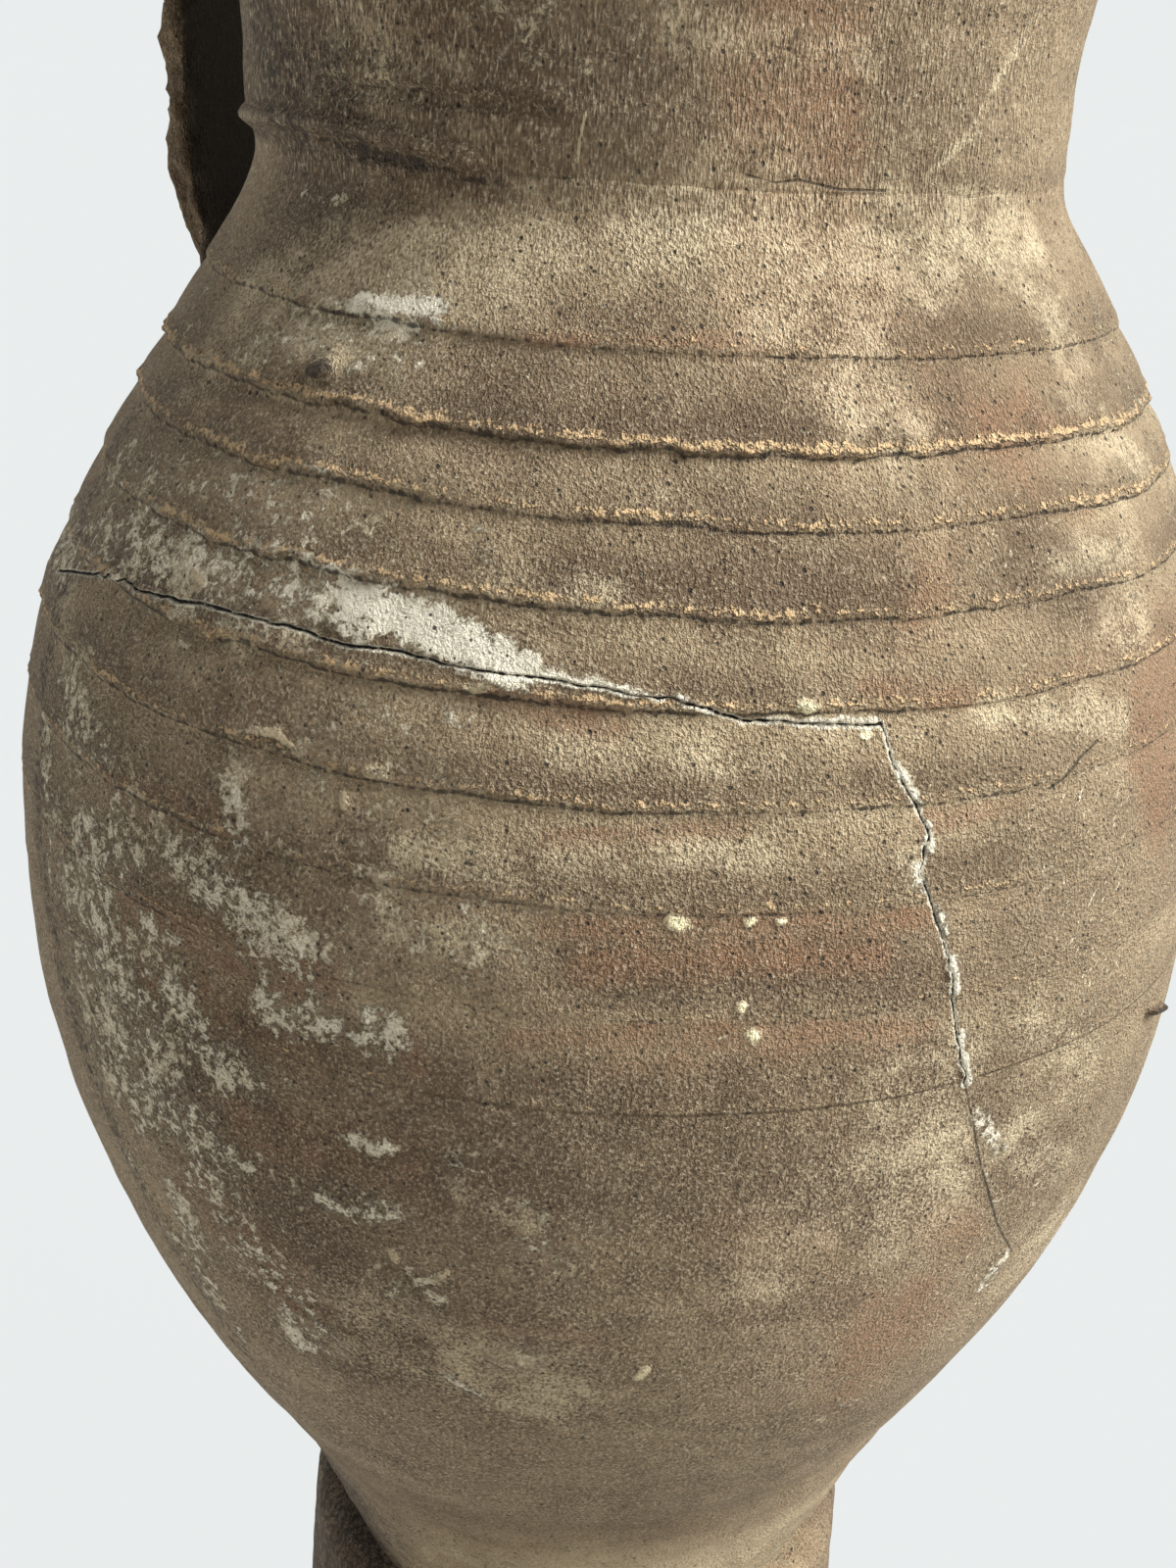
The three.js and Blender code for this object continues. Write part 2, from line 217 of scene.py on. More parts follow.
class Field:
    """A value in a shader tree: sums and products of fields become Math nodes."""

    def __init__(self, tree, socket=None):
        self.tree = tree
        self.socket = socket

    def node(self, kind, settings, inputs, output=0):
        made = self.tree.nodes.new(kind)
        for key, value in settings.items():
            setattr(made, key, value)
        for key, value in inputs.items():
            if isinstance(value, Field):
                self.tree.links.new(value.socket, made.inputs[key])
            else:
                made.inputs[key].default_value = value
        return Field(self.tree, made.outputs[output])

    def math(self, operation, first, second):
        return self.node("ShaderNodeMath", {"operation": operation}, {0: first, 1: second})

    def __add__(self, other):
        return self.math("ADD", self, other)

    def __radd__(self, other):
        return self.math("ADD", other, self)

    def __sub__(self, other):
        return self.math("SUBTRACT", self, other)

    def __rsub__(self, other):
        return self.math("SUBTRACT", other, self)

    def __mul__(self, other):
        return self.math("MULTIPLY", self, other)

    def __rmul__(self, other):
        return self.math("MULTIPLY", other, self)

    def rise(self, low, high):
        """0 below low, 1 above high, smooth between; falls instead if low is above high."""
        ends = {1: low, 2: high, 3: 0.0, 4: 1.0} if low < high else {1: high, 2: low, 3: 1.0, 4: 0.0}
        return self.node("ShaderNodeMapRange", {"interpolation_type": "SMOOTHSTEP"}, {0: self, **ends})

    def mapped(self, scale, turn=(0, 0, 0)):
        return self.node("ShaderNodeMapping", {}, {"Vector": self, "Rotation": turn, "Scale": scale})

    def noise(self, scale, detail, roughness, distortion=0.0):
        inputs = {"Scale": scale, "Detail": detail, "Roughness": roughness, "Distortion": distortion}
        return self.node("ShaderNodeTexNoise", {}, {"Vector": self, **inputs})

    def specks(self, scale, size, share):
        """Small round spots, in the given share of the cells of a grid."""
        cell = self.node("ShaderNodeTexVoronoi", {}, {"Vector": self, "Scale": scale})
        chosen = Field(self.tree, cell.socket.node.outputs["Color"]).rise(1 - share, 1 - 0.7 * share)
        return cell.rise(size, 0.5 * size) * chosen

    def mixed(self, first, second):
        return self.node("ShaderNodeMix", {"data_type": "RGBA"}, {"Factor": self, 6: first, 7: second}, 2)

    def attribute(self, name):
        return self.node("ShaderNodeAttribute", {"attribute_name": name}, {}, "Fac")


GREY_CLAY = (0.33, 0.246, 0.145, 1)
# Dark clay, also reached by painted shade in the tone and the stains.
DARK_CLAY = (0.13, 0.085, 0.047, 1)
TAN_CLAY = (0.52, 0.42, 0.262, 1)
RED_CLAY = (0.24, 0.126, 0.065, 1)
CREST_CLAY = (0.68, 0.47, 0.25, 1)
# Cream clay, also the colour of painted highlights.
CREAM_CLAY = (0.68, 0.57, 0.37, 1)
CRUST_TAN = (0.55, 0.45, 0.285, 1)
LIME = (0.93, 0.88, 0.71, 1)
LICHEN = (0.97, 0.88, 0.55, 1)
# Near black: the colour of pits, and of painted shade.
PIT_AND_SHADOW = (0.03, 0.022, 0.015, 1)
# Pale grit, also the painted light on the grain's tops.
GRIT_AND_LIT_GRAIN = (0.74, 0.66, 0.47, 1)
CRACK_DARK = (0.008, 0.006, 0.005, 1)
SCRATCH_TURN = (radians(50), radians(20), 0)
GRAIN_DEPTH = 0.0009


def stoneware(name):
    """Weathered, unglazed stoneware: cloudy browns, a grain that is dashed higher up, pits, grit and lime,
    with painted light and shade wherever the pieces' attributes lay it.
    """
    material = bpy.data.materials.new(name)
    material.use_nodes = True
    tree = material.node_tree
    shader = tree.nodes["Principled BSDF"]
    start = Field(tree)
    where = start.node("ShaderNodeTexCoord", {}, {}, "Object")

    clouds = where.noise(24.0, 3.0, 0.6)
    bands = where.mapped((8.0, 8.0, 110.0)).noise(1.0, 3.0, 0.6)
    blotches = where.noise(130.0, 4.0, 0.65)
    dashes = 2.4 * where.mapped((2600.0, 2600.0, 700.0)).noise(1.0, 2.0, 0.6) - 0.7
    granules = 2.8 * where.noise(1700.0, 2.0, 0.7) - 0.9
    dashed = 0.25 + 0.5 * where.node("ShaderNodeSeparateXYZ", {}, {"Vector": where}, "Z").rise(0.25, 0.34)
    texture = dashed * dashes + (1 - dashed) * granules
    grains = where.noise(800.0, 2.0, 0.7)
    ragged = 0.75 * where.noise(300.0, 4.0, 0.7) + 0.25 * texture

    # The tone attribute adds painted shade and painted light to the clay's own cloudy tone.
    tone_and_shade = 0.4 * clouds + 0.3 * bands + 0.3 * blotches + 0.35 * (ragged - 0.5) + where.attribute("tone_and_shade")
    colour = tone_and_shade.rise(0.22, 0.68).mixed(DARK_CLAY, GREY_CLAY)
    colour = tone_and_shade.rise(0.52, 0.95).mixed(colour, TAN_CLAY)

    speckle = 0.5 * blotches + 0.5 * ragged + 0.2 * (texture - 0.5)
    drift = 0.8 * (blotches - 0.5) + 1.2 * (clouds - 0.5) + 0.8 * (bands - 0.5)
    red = (where.attribute("red") + drift).rise(0.3, 1.0) * speckle.rise(0.3, 0.62)
    colour = (0.85 * red).mixed(colour, RED_CLAY)
    # Cream patches of clay, and a painted highlight along the neck's raised lip and the strap's edges.
    cream_and_highlight = (where.attribute("cream_and_highlight") + drift).rise(0.3, 1.0) * speckle.rise(0.32, 0.68)
    colour = (0.68 * cream_and_highlight).mixed(colour, CREAM_CLAY)
    # Stains, and painted shade where the stain attribute lays it in the neck's fold.
    stain_and_shade = (where.attribute("stain_and_shade") - drift).rise(0.3, 1.0) * speckle.rise(0.72, 0.34)
    colour = (0.65 * stain_and_shade).mixed(colour, DARK_CLAY)

    along_crest = where.attribute("crest") + 2.6 * (grains - 0.5) + 0.7 * (ragged - 0.5)
    crest = along_crest.rise(0.42, 0.85)
    colour = (0.85 * crest).mixed(colour, CREST_CLAY)

    flake = where.noise(520.0, 6.0, 0.78, 0.3)
    edge = 0.3 * where.noise(90.0, 2.0, 0.5) + 0.7 * flake
    lime = (where.attribute("lime") + 5.0 * (edge - 0.5)).rise(0.55, 0.75)
    powder = (where.attribute("lime") + 2.4 * (flake - 0.5) + 0.5 * (texture - 0.5)).rise(0.45, 1.05)
    colour = (lime * (0.85 + 0.15 * texture)).mixed(colour, powder.mixed(CRUST_TAN, LIME))
    lichen = (where.attribute("lichen") + 0.8 * (ragged - 0.5)).rise(0.35, 0.5)
    colour = lichen.mixed(colour, where.attribute("lichen").rise(0.72, 0.9).mixed(CRUST_TAN, LICHEN))

    brushed = where.mapped((1.0, 1.0, 1.0), SCRATCH_TURN)
    scratches = brushed.mapped((1500.0, 1500.0, 70.0)).noise(1.0, 2.0, 0.5)
    scratched = scratches.rise(0.64, 0.7) * where.attribute("scratch")
    colour = (0.7 * scratched).mixed(colour, GRIT_AND_LIT_GRAIN)

    pits = where.specks(640.0, 0.26, 0.26) + where.specks(1050.0, 0.32, 0.24)
    colour = (0.9 * pits).mixed(colour, PIT_AND_SHADOW)
    grit = where.specks(1150.0, 0.3, 0.14) + 0.6 * where.noise(1500.0, 2.0, 0.8).rise(0.58, 0.72)
    colour = (0.5 * grit).mixed(colour, GRIT_AND_LIT_GRAIN)

    # Salt and pepper on the grain: grit, and painted light and shade of the grains, dark in the grain's
    # hollows and light on its tops. The wall's attribute grades it up, and it is weaker under lime.
    wear_and_grain_shade = where.attribute("wear_and_grain_shade")
    bare = 1 - 0.6 * lime
    colour = (bare * (0.4 + 0.25 * wear_and_grain_shade) * texture.rise(0.5, 0.0)).mixed(colour, PIT_AND_SHADOW)
    colour = (bare * (0.2 + 0.4 * wear_and_grain_shade) * texture.rise(0.5, 1.0)).mixed(colour, GRIT_AND_LIT_GRAIN)
    # Painted shade: a dark wash under the ridges' lips, in and below the neck's fold, on the left of the
    # neck, flank and foot, and on the strap's inner face and underside; nodules are darkened with it.
    shade_and_dark_nodules = (where.attribute("shade_and_dark_nodules") + 1.7 * (grains - 0.5) + 0.8 * (ragged - 0.5)).rise(0.5, 0.95)
    colour = (0.85 * shade_and_dark_nodules).mixed(colour, PIT_AND_SHADOW)

    crack = where.attribute("crack") + 0.5 * (ragged - 0.5)
    chalk = (crack + 1.6 * (flake - 0.5)).rise(3.4, 3.6)
    colour = (0.6 * chalk).mixed(colour, LIME)
    gap = crack.rise(3.76, 3.86)
    colour = gap.mixed(colour, CRACK_DARK)
    # Dark hairlines: cracks, and painted shade along a crease of the neck.
    hair_and_crease_shade = (where.attribute("hair_and_crease_shade") + 0.6 * (ragged - 0.5)).rise(1.66, 1.8)
    colour = (0.65 * hair_and_crease_shade).mixed(colour, CRACK_DARK)

    burr = 1.6 * crest * grains - 0.5 * shade_and_dark_nodules
    relief = 0.6 * texture + 0.5 * ragged + burr - 0.8 * pits + lime * (0.4 + 0.9 * flake) - 0.8 * gap
    height = relief - 0.5 * hair_and_crease_shade
    bump = start.node("ShaderNodeBump", {}, {"Strength": 1.0, "Distance": GRAIN_DEPTH, "Height": height})
    tree.links.new(colour.socket, shader.inputs["Base Color"])
    tree.links.new(bump.socket, shader.inputs["Normal"])
    sheen = 0.95 - 0.2 * blotches
    tree.links.new(sheen.socket, shader.inputs["Roughness"])
    shader.inputs["Specular IOR Level"].default_value = 0.3
    return material


bowl_bottom = bezier(
    (0, BOWL_BOTTOM), (CREASE[0] * (1 - CURVE_PULL), BOWL_BOTTOM),
    climb(CREASE, CREASE_SLOPE, -CURVE_PULL * (CREASE[1] - BOWL_BOTTOM)), CREASE, 40,
)
bowl_rise = CURVE_PULL * (BELLY[1] - CREASE[1])
bowl_side = bezier(
    CREASE, climb(CREASE, CREASE_SLOPE, bowl_rise), (BELLY[0], BELLY[1] - bowl_rise), BELLY, 60,
)
bowl_outside = np.vstack((bowl_bottom, bowl_side[1:]))
rim_centre = (FOOT_RIM_RADIUS - FOOT_RIM_ROUND, FOOT_RIM_HEIGHT - FOOT_RIM_ROUND)
stem_inside = (WAIST[0] - STEM_WALL, WAIST[1] + 4)
stem_slope = (CREASE[0] - WAIST[0]) / (CREASE[1] - WAIST[1])
stem_top = (CREASE[0] + stem_slope * STEM_OVERLAP, CREASE[1] + STEM_OVERLAP)
foot_outline = np.vstack((
    resample([(FOOT_RADIUS - FOOT_EDGE, 0), (FOOT_RADIUS, FOOT_EDGE), (FOOT_RIM_RADIUS, rim_centre[1])], 1.3),
    arc(rim_centre, FOOT_RIM_ROUND, 0, pi / 2, 10)[1:],
    resample([WAIST, stem_top], 1.1),
    resample([
        (CREASE[0] - 1.5, CREASE[1] - 1), (CREASE[0] - STEM_WALL, CREASE[1] - STEM_WALL), stem_inside,
        (FOOT_RING_RADIUS - FOOT_EDGE, FOOT_EDGE), (FOOT_RING_RADIUS, 0),
    ], 3),
))
foot_bm = turned(foot_outline, FOOT_STEPS)
foot_points = points_of(foot_bm)
foot_height = foot_points[:, 2].copy()
foot_across = np.hypot(foot_points[:, 0], foot_points[:, 1])
stem_line = WAIST[0] + stem_slope * (foot_height - WAIST[1])
foot_outer = (foot_height <= WAIST[1]) | (foot_across > stem_line - 0.5)
foot_points[:, :2] += FOOT_SHIFT
over_bowl = np.interp(foot_height, bowl_outside[:, 1], bowl_outside[:, 0]) + SMEAR
foot_across = np.hypot(foot_points[:, 0], foot_points[:, 1])
fillet = np.log(np.exp(foot_across / FILLET) + np.exp(over_bowl / FILLET)) * FILLET
feather = np.clip((stem_top[1] - foot_height) / STEM_OVERLAP, 0, 1)
laid = over_bowl + feather * (fillet - over_bowl) - 0.5 * (1 - feather)
on_stem = foot_outer & (foot_height > WAIST[1] + 4)
foot_points = push_out(foot_points, np.where(on_stem, laid - foot_across, 0))
foot_ease = np.interp(foot_height, [0, 3, WAIST[1], CREASE[1] - 16, CREASE[1]], [0, 1, 1, 0.9, 0])
foot_lumps = foot_ease * (1.1 * rough(foot_points, 34, 2, 2) + 0.3 * rough(foot_points, 6, 2, 3))
foot_full = np.interp(foot_height, FULL_HEIGHTS, FULL)
foot_lumps += (1 - foot_ease) * (unevenness(foot_points) + foot_full) * (foot_height > WAIST[1])
place(foot_bm, push_out(foot_points, foot_lumps, FOOT_SHIFT))
foot_turn = turn_from_front(foot_points)
# Painted light and shade on the foot: its tone is lighter towards the side the camera sees, darker towards
# the back and darkest on the left, where a painted shadow lies too.
foot_shaded_side = np.clip(-np.sin(foot_turn), 0, 1)
foot_fields = {
    "red": foot_ease * np.clip(rough(foot_points, 40, 2, 8), 0, 0.5),
    "cream_and_highlight": foot_ease * np.clip(0.3 + 0.6 * rough(foot_points, 30, 2, 9), 0, 0.5),
    "lime": foot_ease * np.clip(0.6 * rough(foot_points, 25, 2, 10), 0, 0.35),
    "tone_and_shade": foot_ease * (0.4 * np.cos(foot_turn) - 0.8 * foot_shaded_side - 0.12 * np.sin(foot_turn)),
    "shade_and_dark_nodules": foot_ease * 0.74 * np.clip(-1.3 * np.sin(foot_turn), 0, 1),
}
finish_piece("foot_ring", foot_bm, foot_fields, stoneware("foot_stoneware"), "foot_clay", "foot")

# Lower body: a round-bottomed bowl thrown on the wheel, smoothed outside, with a tongue round its rim.
# Weathering has left lime on its left, and a crack runs down into it from the shoulder.
BODY_STEPS = 520
SHOULDER = (74, 324)
SHOULDER_SLOPE = radians(32)
COLLAR = (68, 338)
NECK_WAIST = 68.6
NECK_FLARE = 75
LIP_RADIUS = 5.5
RIM_HEIGHT = 403
LEAN_HEIGHTS = [262, 296, 326, 343]
LEAN = [0, 2.8, 2.8, 0]
LEAN_WAY = np.array((cos(radians(38)), sin(radians(38))))
CRACK_REACH = 4
CRACK_JAG = 1.6
HAIR_REACH = 2
CRACK_MESH = 1.8
MARK_MESH = 2.4
HAIR_MESH = 1.2
# How strongly the grain's painted light and shade shows, by height.
WEAR_AND_GRAIN_SHADE_HEIGHTS = [150, 230, 325, 345]
WEAR_AND_GRAIN_SHADE = [0.55, 0.05, 0.05, 0.5]
# The marks on its wall: how strong each is, its half width and its course, in pixels of the picture.
CRACK_ACROSS = [
    (60, 583), (111, 591), (150, 604), (198, 613), (250, 628), (298, 640), (340, 655), (397, 662),
    (450, 675), (500, 684), (550, 690), (600, 700), (650, 707), (700, 718), (730, 730), (760, 736),
    (800, 739), (850, 741), (896, 740),
]
CRACK_DOWN = [
    (897, 739), (906, 766), (919, 794), (940, 826), (949, 855), (940, 887), (951, 919), (961, 944),
    (969, 980), (974, 1016), (979, 1059), (986, 1109),
]
CRACK_END = [(986, 1109), (994, 1144), (1003, 1194), (1019, 1251), (1031, 1276)]
DOWN_CLOSED = 0.04
END_CLOSED = 0.5
SCRATCH_STROKES = [
    (1, 90, [(1110, 820), (1120, 980), (1060, 1180), (980, 1330)]), (0.6, 60, [(1000, 560), (1120, 640)]),
]
# Dark hairlines: cracks, and along the crease where the neck's skirt meets the collar on the right, painted
# shade.
HAIRLINES_AND_CREASE_SHADE = [
    (0.3, [(895, 545), (892, 650), (893, 738)]), (1, [(901, 440), (897, 468)]),
    (1, [(1062, 812), (1085, 792), (1100, 770), (1118, 752)]),
    (0.7, [(757, 178), (785, 186), (810, 183), (850, 193), (895, 194)]), (0.8, CRACK_END),
]
LIME_STROKES = [
    (1.2, 28, [(350, 610), (420, 635), (480, 662), (520, 680)]), (0.8, 16, [(270, 600), (360, 645)]),
    (1, 10, [(520, 682), (575, 692), (640, 703)]), (0.6, 34, [(215, 585), (330, 590)]),
    (0.62, 30, [(100, 540), (160, 570), (230, 565)]), (0.5, 50, [(60, 580), (200, 600)]),
    (1.1, 15, [(345, 308), (428, 312)]), (0.9, 12, [(365, 328), (405, 332)]),
    (0.8, 9, [(340, 375), (355, 368)]), (0.7, 28, [(236, 800), (246, 850)]),
    (0.6, 34, [(165, 850), (215, 910)]), (0.65, 34, [(200, 900), (310, 960)]),
    (0.62, 44, [(280, 1035), (390, 1055)]), (0.5, 70, [(150, 980), (250, 1100)]),
    (0.52, 60, [(90, 980), (140, 1120)]), (0.55, 50, [(150, 1100), (215, 1220)]),
    (0.6, 22, [(325, 1222), (405, 1235)]), (0.6, 46, [(240, 1250), (310, 1350)]),
    (0.7, 14, [(300, 1340), (345, 1365)]), (0.6, 16, [(365, 1160), (400, 1170)]),
    (0.7, 8, [(400, 1318), (450, 1300)]), (0.5, 44, [(60, 840), (80, 960)]),
    (0.52, 40, [(60, 700), (110, 790)]), (0.8, 9, [(450, 730), (470, 735)]),
    (0.62, 26, [(48, 740), (52, 880), (80, 1000), (120, 1120)]),
    (0.6, 24, [(130, 1180), (190, 1280), (260, 1370)]), (0.9, 6, [(915, 780), (940, 818)]),
    (0.9, 7, [(948, 840), (950, 865)]), (0.85, 12, [(936, 884), (944, 906)]),
    (0.95, 7, [(960, 928), (967, 948)]), (1.1, 8, [(972, 975), (977, 1008)]),
    (1.1, 7, [(982, 1054), (988, 1106)]), (0.75, 14, [(1000, 1138), (1024, 1170)]),
    (0.6, 6, [(1008, 1200), (1018, 1230)]), (0.75, 20, [(1022, 1284), (1004, 1312)]),
    (0.9, 10, [(800, 1545), (818, 1535)]), (0.9, 5, [(780, 736), (890, 736)]),
    (0.8, 6, [(640, 703), (700, 712)]), (0.7, 6, [(850, 1425), (870, 1430)]),
    (0.55, 16, [(300, 200), (340, 205)]), (0.6, 12, [(470, 540), (490, 565)]),
    (0.62, 60, [(60, 560), (180, 560), (300, 600)]), (0.58, 60, [(70, 700), (130, 880)]),
    (0.6, 70, [(130, 1000), (230, 1230)]), (0.56, 70, [(200, 880), (330, 1010)]),
    (0.55, 60, [(260, 1280), (340, 1380)]), (0.5, 60, [(250, 330), (420, 330)]),
    (0.5, 60, [(110, 480), (300, 520)]), (0.45, 60, [(420, 1300), (520, 1380)]),
    (0.4, 80, [(380, 900), (480, 960)]), (0.42, 60, [(480, 1200), (560, 1260)]),
    (0.3, 60, [(1060, 880), (1120, 1000)]), (0.7, 60, [(90, 860), (120, 1000)]),
    (0.65, 60, [(70, 900), (150, 1150)]), (0.74, 40, [(215, 905), (295, 965)]),
    (0.74, 36, [(275, 1025), (390, 1055)]), (0.72, 36, [(175, 1005), (228, 1095)]),
    (0.72, 32, [(155, 1100), (200, 1180)]), (0.75, 18, [(220, 1165), (255, 1195)]),
    (0.8, 13, [(328, 1222), (370, 1242), (405, 1234)]), (0.75, 13, [(352, 1162), (398, 1172)]),
    (0.85, 12, [(245, 1255), (285, 1310), (345, 1365)]), (0.85, 20, [(270, 1290), (310, 1370)]),
    (0.7, 32, [(178, 1215), (215, 1310)]), (0.9, 8, [(460, 1402), (490, 1422)]),
    (0.8, 16, [(140, 930), (180, 960)]), (0.7, 40, [(120, 545), (250, 575)]),
    (0.8, 30, [(320, 590), (420, 640)]),
]
CHIP_STROKES = [
    (0.9, 8, [(258, 744), (282, 748)]), (0.9, 7, [(282, 748), (300, 764)]),
    (0.9, 9, [(378, 783), (390, 785)]), (0.9, 7, [(349, 811), (351, 821)]),
    (0.9, 9, [(472, 705), (490, 697)]), (0.9, 9, [(190, 585), (196, 595)]),
    (0.9, 6, [(400, 1274), (405, 1284)]), (0.9, 6, [(445, 1303), (456, 1297)]),
    (0.9, 2.5, [(598, 115), (592, 140), (585, 165)]),
]
NODULE_STROKES = [
    (1.2, 12, [(308, 374), (318, 371)]), (1, 4.5, [(1170, 1030), (1180, 1025)]),
]
LICHEN_STROKES = [
    (1.1, 11, [(813, 720), (818, 722)]), (1, 7, [(879, 749), (882, 750)]),
    (1, 11, [(688, 941), (694, 943)]), (1, 6, [(765, 942), (768, 940)]), (1, 5, [(796, 941), (800, 940)]),
    (1, 8, [(767, 1055), (770, 1057)]), (1, 6, [(756, 1027), (758, 1025)]),
    (0.8, 7, [(651, 1404), (659, 1396)]),
]
RED_STROKES = [
    (1, 18, [(560, 948), (960, 938)]), (1, 30, [(600, 985), (900, 975)]),
    (0.6, 20, [(1000, 920), (1120, 900)]), (1, 16, [(520, 1062), (950, 1048)]),
    (0.7, 20, [(620, 1090), (960, 1065)]), (0.9, 14, [(560, 858), (760, 846)]),
    (1, 16, [(950, 838), (1040, 822)]), (0.7, 40, [(940, 1240), (990, 1270)]),
    (0.6, 40, [(860, 1330), (940, 1340)]), (1, 40, [(130, 930), (320, 1000)]),
    (0.9, 40, [(160, 1000), (330, 1080)]), (1, 50, [(260, 1150), (420, 1190)]),
    (0.9, 30, [(120, 800), (230, 850)]), (0.8, 22, [(970, 370), (1090, 380)]),
    (0.9, 10, [(520, 345), (900, 345)]), (0.8, 20, [(1000, 440), (1080, 425)]),
    (0.7, 20, [(880, 700), (1000, 712)]), (0.5, 22, [(1030, 700), (1120, 670)]),
    (0.6, 14, [(1020, 530), (1100, 520)]), (0.8, 24, [(480, 700), (620, 740)]),
    (1, 60, [(220, 1230), (300, 1320)]), (0.5, 60, [(700, 1250), (850, 1280)]),
    (0.6, 50, [(480, 1340), (640, 1390)]), (1, 22, [(410, 1060), (430, 1090)]),
]
CREAM_STROKES = [
    (1, 50, [(640, 235), (800, 255), (950, 255), (1030, 240)]), (0.8, 30, [(620, 200), (1000, 205)]),
    (1, 34, [(760, 300), (930, 300)]), (1, 8, [(1060, 10), (1010, 95), (990, 135), (940, 180)]),
    (1, 30, [(380, 240), (560, 245)]), (0.8, 24, [(900, 335), (905, 440)]),
    (0.5, 20, [(900, 470), (895, 600)]), (0.6, 30, [(850, 500), (930, 490)]),
    (0.6, 26, [(820, 570), (900, 580)]), (0.7, 30, [(1060, 570), (1130, 560)]),
    (1, 24, [(1000, 720), (1140, 730)]), (0.7, 26, [(560, 770), (800, 780)]),
    (1, 26, [(420, 870), (520, 890)]), (0.7, 26, [(560, 880), (780, 870)]),
    (1, 22, [(930, 880), (940, 900)]), (1, 26, [(400, 950), (500, 960)]),
    (1, 30, [(470, 1210), (540, 1240)]), (0.5, 26, [(640, 500), (780, 490)]),
    (0.7, 40, [(1040, 1040), (1110, 1080)]), (0.7, 46, [(1030, 1160), (1080, 1190)]),
    (1, 20, [(230, 640), (240, 660)]), (0.5, 24, [(460, 60), (620, 70)]),
    (0.7, 30, [(700, 30), (900, 60)]), (1, 24, [(580, 600), (600, 610)]),
    (1, 30, [(1120, 440), (1150, 470)]),
]
# Strokes that lower the tone: painted shade on the left of the neck and under its fold, and darker patches of
# clay.
SHADE_STROKES = [
    (0.2, 45, [(560, 580), (900, 590)]), (0.15, 60, [(1040, 560), (1140, 640)]),
    (0.15, 40, [(600, 985), (900, 975)]), (0.12, 60, [(500, 400), (800, 410)]),
    (0.1, 120, [(450, 1180), (900, 1220)]), (0.28, 90, [(270, 40), (330, 180)]),
    (0.14, 110, [(210, 1100), (340, 1330)]), (0.4, 13, [(335, 148), (380, 158), (430, 170), (495, 188)]),
    (0.3, 6, [(334, 79), (410, 92), (490, 105)]), (0.12, 70, [(450, 50), (700, 70)]),
    (0.1, 60, [(1000, 1150), (1060, 1200)]), (0.06, 70, [(760, 100), (950, 130)]),
]
# Painted shade: a dark wash under the neck's fold and along its upper groove, on the left of the neck, and
# down the jug's left flank and shoulder.
PAINTED_SHADE_STROKES = [
    (0.85, 5, [(328, 143), (365, 153)]), (0.88, 11, [(365, 154), (430, 169)]),
    (0.85, 6, [(430, 169), (500, 188)]), (0.72, 4, [(334, 80), (410, 93), (490, 105)]),
    (0.7, 70, [(268, 20), (300, 110)]), (0.64, 60, [(330, 60), (360, 130)]),
    (0.66, 34, [(75, 560), (45, 700), (40, 850), (62, 990), (102, 1120), (165, 1250), (250, 1370)]),
    (0.62, 40, [(120, 420), (90, 500)]),
]
# Stains on the wall, and painted shade in and below the neck's fold, along its upper groove and on the left
# of the neck.
STAIN_AND_SHADE_STROKES = [
    (1, 22, [(948, 325), (945, 430)]), (1, 20, [(965, 540), (955, 600)]),
    (1, 26, [(540, 420), (800, 425)]), (1, 34, [(330, 400), (480, 440)]),
    (1, 34, [(720, 640), (900, 650)]), (1, 24, [(600, 600), (760, 605)]),
    (1, 34, [(340, 540), (520, 590)]), (1, 26, [(860, 800), (930, 800)]),
    (1, 24, [(560, 815), (760, 825)]), (1, 36, [(720, 1015), (960, 1010)]),
    (1, 46, [(760, 1100), (960, 1090)]), (1, 40, [(600, 1120), (780, 1140)]),
    (1, 34, [(270, 865), (400, 865)]), (1, 30, [(90, 640), (170, 690)]),
    (1, 40, [(70, 1030), (180, 1180)]), (1, 50, [(200, 1170), (330, 1260)]),
    (1, 50, [(380, 1140), (470, 1200)]), (1, 60, [(420, 1330), (600, 1360)]),
    (1, 36, [(150, 400), (280, 440)]), (1, 34, [(290, 130), (420, 160)]),
    (1, 26, [(420, 165), (505, 180)]), (1, 30, [(280, 60), (520, 90)]),
    (1, 50, [(660, 1180), (860, 1210)]), (0.5, 40, [(700, 130), (860, 150)]),
    (1, 30, [(200, 700), (330, 720)]), (1, 24, [(560, 320), (680, 325)]),
    (0.6, 60, [(500, 1430), (800, 1450)]), (1, 60, [(280, 40), (330, 190)]),
    (0.8, 50, [(420, 40), (640, 60)]), (0.8, 60, [(640, 480), (800, 600)]),
    (1, 36, [(560, 585), (900, 590)]), (0.8, 50, [(1040, 560), (1140, 640)]),
    (1, 7, [(335, 80), (420, 97), (490, 105)]), (1, 22, [(360, 160), (430, 178), (490, 190)]),
    (0.9, 70, [(480, 1180), (900, 1230)]), (0.9, 60, [(560, 1310), (860, 1330)]),
    (0.9, 60, [(300, 1230), (420, 1390)]),
]

